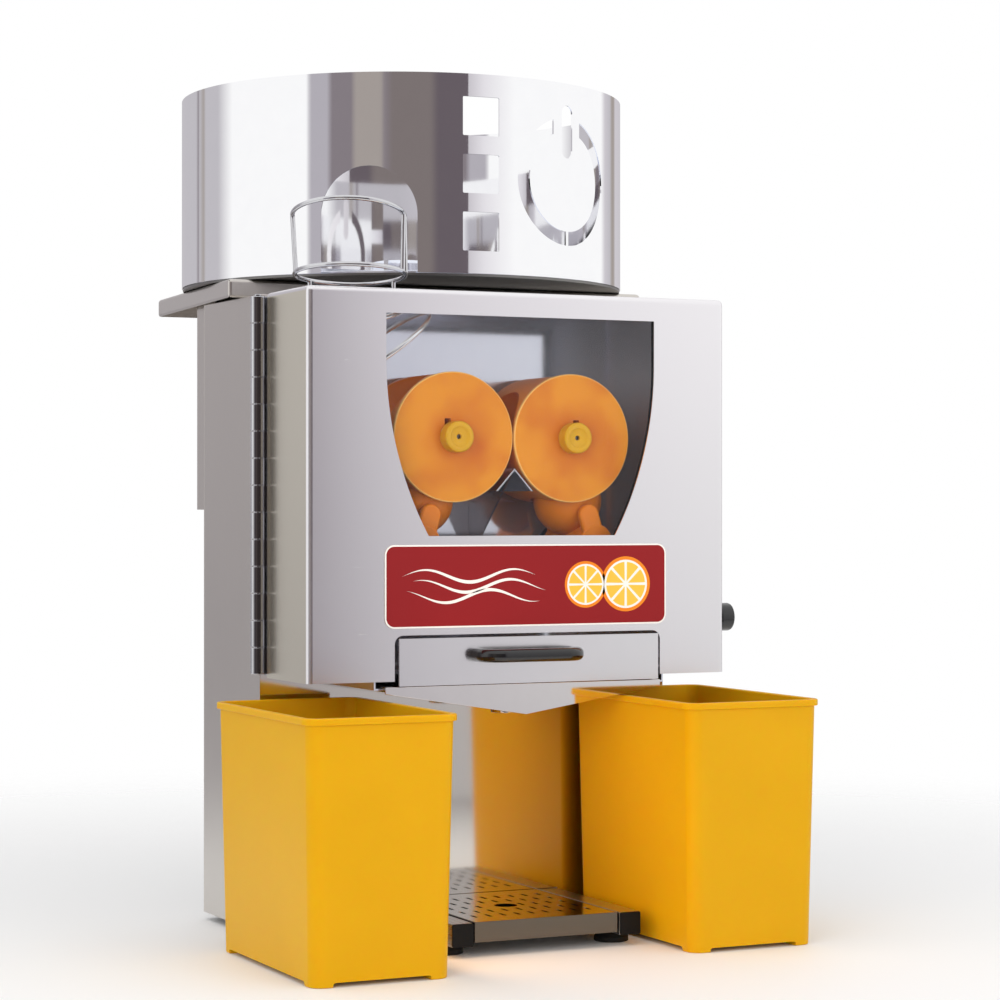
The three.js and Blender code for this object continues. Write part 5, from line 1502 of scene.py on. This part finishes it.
# %% Small turned parts
for side in ("left", "right"):
    for end in ("front", "rear"):
        node = f"{end}_foot_{side}"
        x, y, z = span(node)
        profile = [(0, 0), (14.9, 0), (15.5, 0.6), (15.5, 4.2), (14.6, 5.2), (10.8, 9.4), (10.2, 10)]
        profile += [(4, 10), (4, z[1]), (0, z[1])]
        foot = turned(f"rubber_{node}", profile, "z", ((x[0] + x[1]) / 2, (y[0] + y[1]) / 2), 64)
        set_in_place(foot, "base", black_rubber, "black_rubber", node)

pull_x, pull_y, pull_z = span("door_pull")
head = pull_x[1]
profile = [(0, pull_x[0]), (2.6, pull_x[0]), (3, pull_x[0] + 0.4), (3, head - 19), (6, head - 19)]
profile += [(6, head - 13.5), (6.6, head - 13), (12.2, head - 13), (13, head - 12.2), (13, head - 1.8)]
profile += [(12.5, head - 0.5), (11.4, head), (7, head - 0.4), (0, head - 0.6)]
pull_place = ((pull_y[0] + pull_y[1]) / 2, (pull_z[0] + pull_z[1]) / 2)
pull = turned("pull_knob", profile, "x", pull_place, 72)
set_in_place(pull, "door", black_abs, "black_abs", "door_pull")

for node, body, finish, slot in (
    ("start_button", "start", green_abs, "green_abs"),
    ("stop_button", "stop", red_abs, "red_abs"),
):
    x, y, z = span(node)
    profile = [(0, x[0]), (11, x[0]), (11, x[1] - 1), (10.7, x[1] - 0.3), (10, x[1]), (9, x[1])]
    profile += [(6, x[1] - 0.5), (3, x[1] - 0.8), (0, x[1] - 0.9)]
    button = turned(f"dished_{node}", profile, "x", ((y[0] + y[1]) / 2, (z[0] + z[1]) / 2), 64)
    set_in_place(button, body, finish, slot, node)
print("small parts done")

# %% [markdown]
# ## Floor, light and background
# The machine stands on a pale floor in a white room. The floor keeps the shadow near the machine and fades
# to the same white as the room further out. The room is white for the eye and for glass, and a little
# dimmer as a lamp, so that pale surfaces keep their tone.
#
# Bright steel in an all white room has no shape. A studio therefore has dark and grey screens between its
# soft boxes, and steel mirrors them as upright bands. Screens could be built as objects, but here they are
# painted round the room by compass direction, for gloss only. They fade to white overhead and dim a little
# below the horizon.

# %% Floor and room
shadow_start, shadow_end = 0.5, 1.6  # metres from the middle, where the floor fades to white
room_strength = 0.85
floor_mesh = bpy.data.meshes.new("floor")
reach = 14
corners = [(-reach, -reach, 0), (reach, -reach, 0), (reach, reach, 0), (-reach, reach, 0)]
floor_mesh.from_pydata(corners, [], [[0, 1, 2, 3]])
floor = bpy.data.objects.new("floor", floor_mesh)
bpy.context.scene.collection.objects.link(floor)
floor_finish, floor_tree, floor_shader = new_finish("pale_floor", "#F4F4F4", 0, 0.6)
floor_mesh.materials.append(floor_finish)


def seen_white(tree):
    """1 for rays that show the room: to the eye, in gloss and through glass."""
    rays = add_node(tree, "ShaderNodeLightPath")
    first = add_node(
        tree,
        "ShaderNodeMath",
        {0: rays.outputs["Is Camera Ray"], 1: rays.outputs["Is Glossy Ray"]},
        operation="ADD",
    )
    return add_node(
        tree,
        "ShaderNodeMath",
        {0: first.outputs[0], 1: rays.outputs["Is Transmission Ray"]},
        operation="ADD",
        use_clamp=True,
    )


floor_place = add_node(floor_tree, "ShaderNodeTexCoord")
floor_away = add_node(
    floor_tree, "ShaderNodeVectorMath", {0: floor_place.outputs["Object"]}, operation="LENGTH"
)
floor_fade = add_node(
    floor_tree,
    "ShaderNodeMapRange",
    {"Value": floor_away.outputs["Value"], "From Min": shadow_start, "From Max": shadow_end},
    interpolation_type="SMOOTHSTEP",
)
floor_seen = seen_white(floor_tree)
floor_share = add_node(
    floor_tree,
    "ShaderNodeMath",
    {0: floor_fade.outputs["Result"], 1: floor_seen.outputs[0]},
    operation="MULTIPLY",
)
floor_open = add_node(floor_tree, "ShaderNodeBsdfTransparent")
floor_mix = add_node(
    floor_tree,
    "ShaderNodeMixShader",
    {0: floor_share.outputs[0], 1: floor_shader.outputs[0], 2: floor_open.outputs[0]},
)
floor_tree.links.new(floor_mix.outputs[0], floor_tree.nodes["Material Output"].inputs["Surface"])

room = bpy.data.worlds.new("room")
room.use_nodes = True
bpy.context.scene.world = room
room_tree = room.node_tree
room_seen = seen_white(room_tree)
room_power = add_node(
    room_tree,
    "ShaderNodeMapRange",
    {"Value": room_seen.outputs[0], "To Min": room_strength, "To Max": 1},
)
room_light = room_tree.nodes["Background"]
room_tree.links.new(room_power.outputs["Result"], room_light.inputs["Strength"])
print("room lit at", room_strength)

# %% Screens round the room, seen in gloss
tones = {
    "white": "#FFFFFF",
    "mist": "#E8E5E9",
    "cloud": "#D0CCD1",
    "pale": "#C2BFC4",
    "soft": "#B5B1B8",
    "warm": "#A69E99",
    "middle": "#877F84",
    "dusk": "#7E7574",
    "dark": "#685F65",
}
# Each stop is a compass direction in degrees, from straight in front towards the right, and its tone.
behind_left = [(-180, "pale"), (-157, "pale"), (-155, "middle"), (-153, "pale"), (-148, "warm")]
behind_left += [(-146, "pale"), (-133, "pale"), (-121, "white")]
front_left = [(-73, "white"), (-71, "soft"), (-61, "soft"), (-60, "middle"), (-49, "middle")]
front_left += [(-47, "warm"), (-34, "warm"), (-32, "middle"), (-28, "dusk"), (-9, "dusk")]
front_right = [(-5, "dark"), (60, "dark")]
behind_right = [(96, "white"), (104, "white"), (109, "cloud"), (117, "pale"), (120, "warm")]
behind_right += [(124, "warm"), (127, "cloud"), (160, "pale")]
room_stops = behind_left + front_left + front_right + behind_right


def painted_round(tree, stops):
    """A colour by compass direction, from the middle of the room or of an object."""
    place = add_node(tree, "ShaderNodeTexCoord")
    source = "Generated" if tree is room_tree else "Object"
    way = add_node(tree, "ShaderNodeSeparateXYZ", {0: place.outputs[source]})
    front = add_node(tree, "ShaderNodeMath", {0: way.outputs["Y"], 1: -1}, operation="MULTIPLY")
    compass = add_node(
        tree, "ShaderNodeMath", {0: way.outputs["X"], 1: front.outputs[0]}, operation="ARCTAN2"
    )
    share = add_node(
        tree,
        "ShaderNodeMapRange",
        {"Value": compass.outputs[0], "From Min": -math.pi, "From Max": math.pi},
    )
    bands = add_node(tree, "ShaderNodeValToRGB", {"Fac": share.outputs["Result"]})
    made = bands.color_ramp.elements
    made.remove(made[-1])
    for number, (degrees, tone) in enumerate(stops):
        at = (degrees + 180) / 360
        stop = made[0] if number == 0 else made.new(at)
        stop.position = at
        stop.color = linear(tones[tone])
    return bands, way


room_bands, room_way = painted_round(room_tree, room_stops)
room_overhead = add_node(
    room_tree,
    "ShaderNodeMapRange",
    {"Value": room_way.outputs["Z"], "From Min": 0.35, "From Max": 0.6},
    interpolation_type="SMOOTHSTEP",
)
room_rays = add_node(room_tree, "ShaderNodeLightPath")
room_white = add_node(
    room_tree,
    "ShaderNodeMix",
    {0: room_overhead.outputs["Result"], 6: room_bands.outputs["Color"], 7: (1, 1, 1, 1)},
    data_type="RGBA",
)
room_level = add_node(
    room_tree,
    "ShaderNodeMapRange",
    {"Value": room_way.outputs["Z"], "From Min": -0.06, "From Max": 0.03, "To Min": 0.8, "To Max": 1},
)
room_dimmed = add_node(
    room_tree,
    "ShaderNodeVectorMath",
    {0: room_white.outputs[2], "Scale": room_level.outputs["Result"]},
    operation="SCALE",
)
room_colour = add_node(
    room_tree,
    "ShaderNodeMix",
    {0: room_rays.outputs["Is Glossy Ray"], 6: (1, 1, 1, 1), 7: room_dimmed.outputs[0]},
    data_type="RGBA",
)
room_tree.links.new(room_colour.outputs[2], room_light.inputs["Color"])

# %% [markdown]
# One screen stands close by, curved round the machine's right front. Because it is near, the left part of
# the door's front mirrors its dim end and the right part its bright middle, which gives the flat door its
# slow change of tone. It shows in gloss alone and throws no shadow.

# %% The near screen
near_tones = [(-180, "cloud"), (10, "cloud"), (18, "mist"), (36, "white"), (180, "white")]
near_radius, near_middle, near_height = 1100, (0, 100), 1700
near_start, near_sweep = 9, 88  # degrees from straight in front, towards the right
near_steps = 60
near_points, near_faces = [], []
for k in range(near_steps + 1):
    angle = math.radians(near_start + near_sweep * k / near_steps)
    for z in (0, near_height):
        near_points.append((near_radius * math.sin(angle), -near_radius * math.cos(angle), z))
for k in range(near_steps):
    near_faces.append([2 * k, 2 * k + 2, 2 * k + 3, 2 * k + 1])
near_mesh = bpy.data.meshes.new("near_screen")
near_mesh.from_pydata([Vector(p) * MM for p in near_points], [], near_faces)
near_screen = bpy.data.objects.new("near_screen", near_mesh)
bpy.context.scene.collection.objects.link(near_screen)
near_screen.location = row(*near_middle, 0)
near_screen.visible_camera = False
near_screen.visible_diffuse = False
near_screen.visible_transmission = False
near_screen.visible_shadow = False
near_finish, near_tree, _ = new_finish("lit_screen", "#FFFFFF", 0, 1)
near_mesh.materials.append(near_finish)
near_bands, near_way = painted_round(near_tree, near_tones)
near_low = add_node(
    near_tree,
    "ShaderNodeMapRange",
    {"Value": near_way.outputs["Z"], "From Min": 0.1, "From Max": 0.7, "To Min": 0.72, "To Max": 1},
)
near_glow = add_node(
    near_tree,
    "ShaderNodeEmission",
    {"Color": near_bands.outputs["Color"], "Strength": near_low.outputs["Result"]},
)
near_tree.links.new(near_glow.outputs[0], near_tree.nodes["Material Output"].inputs["Surface"])
print("screens:", len(room_stops), "stops round the room")

# %% [markdown]
# ## Lamps
# Three soft boxes stand as in a product studio: a key on the left, a weaker fill on the right and one
# overhead. They light the plastics and the floor. A fourth, small and warm, hangs between the two bins and
# points at the right one. It adds to the orange light that the bins throw on each other, which by itself
# came out too weak. All are hidden from gloss and from the camera, since the painted room already is what
# the steel mirrors.

# %% Lamps


def soft_lamp(name, place, target, size, power, colour=(1, 1, 1)):
    """A square soft box that points at a target. Places are in the row's metres."""
    lamp = bpy.data.lights.new(name, "AREA")
    lamp.color = colour
    lamp.size = size
    lamp.energy = power
    made = bpy.data.objects.new(name, lamp)
    made.visible_glossy = False
    made.visible_camera = False
    bpy.context.scene.collection.objects.link(made)
    made.location = place
    made.rotation_mode = "QUATERNION"
    made.rotation_quaternion = (Vector(target) - Vector(place)).to_track_quat("-Z", "Y")
    return made


soft_lamp("key_lamp", (-1.8, -1.9, 0.8), (0, 0, 0.35), size=1.3, power=18)
soft_lamp("fill_lamp", (0.7, -2.6, 0.8), (0, 0, 0.35), size=1.4, power=13.5)
soft_lamp("top_lamp", (-0.3, -0.2, 2.4), (0, 0, 0.4), size=1.6, power=9)
left_bin, right_bin = span("peel_bin_left"), span("peel_bin_right")
bounce_from = row(left_bin[0][1] + 6, sum(left_bin[1]) / 2, 130)
bounce_to = row(right_bin[0][0], sum(right_bin[1]) / 2, 120)
soft_lamp("bounce_lamp", bounce_from, bounce_to, size=0.2, power=0.3, colour=(1, 0.6, 0.3))
print("lamps:", [lamp.name for lamp in bpy.data.lights])
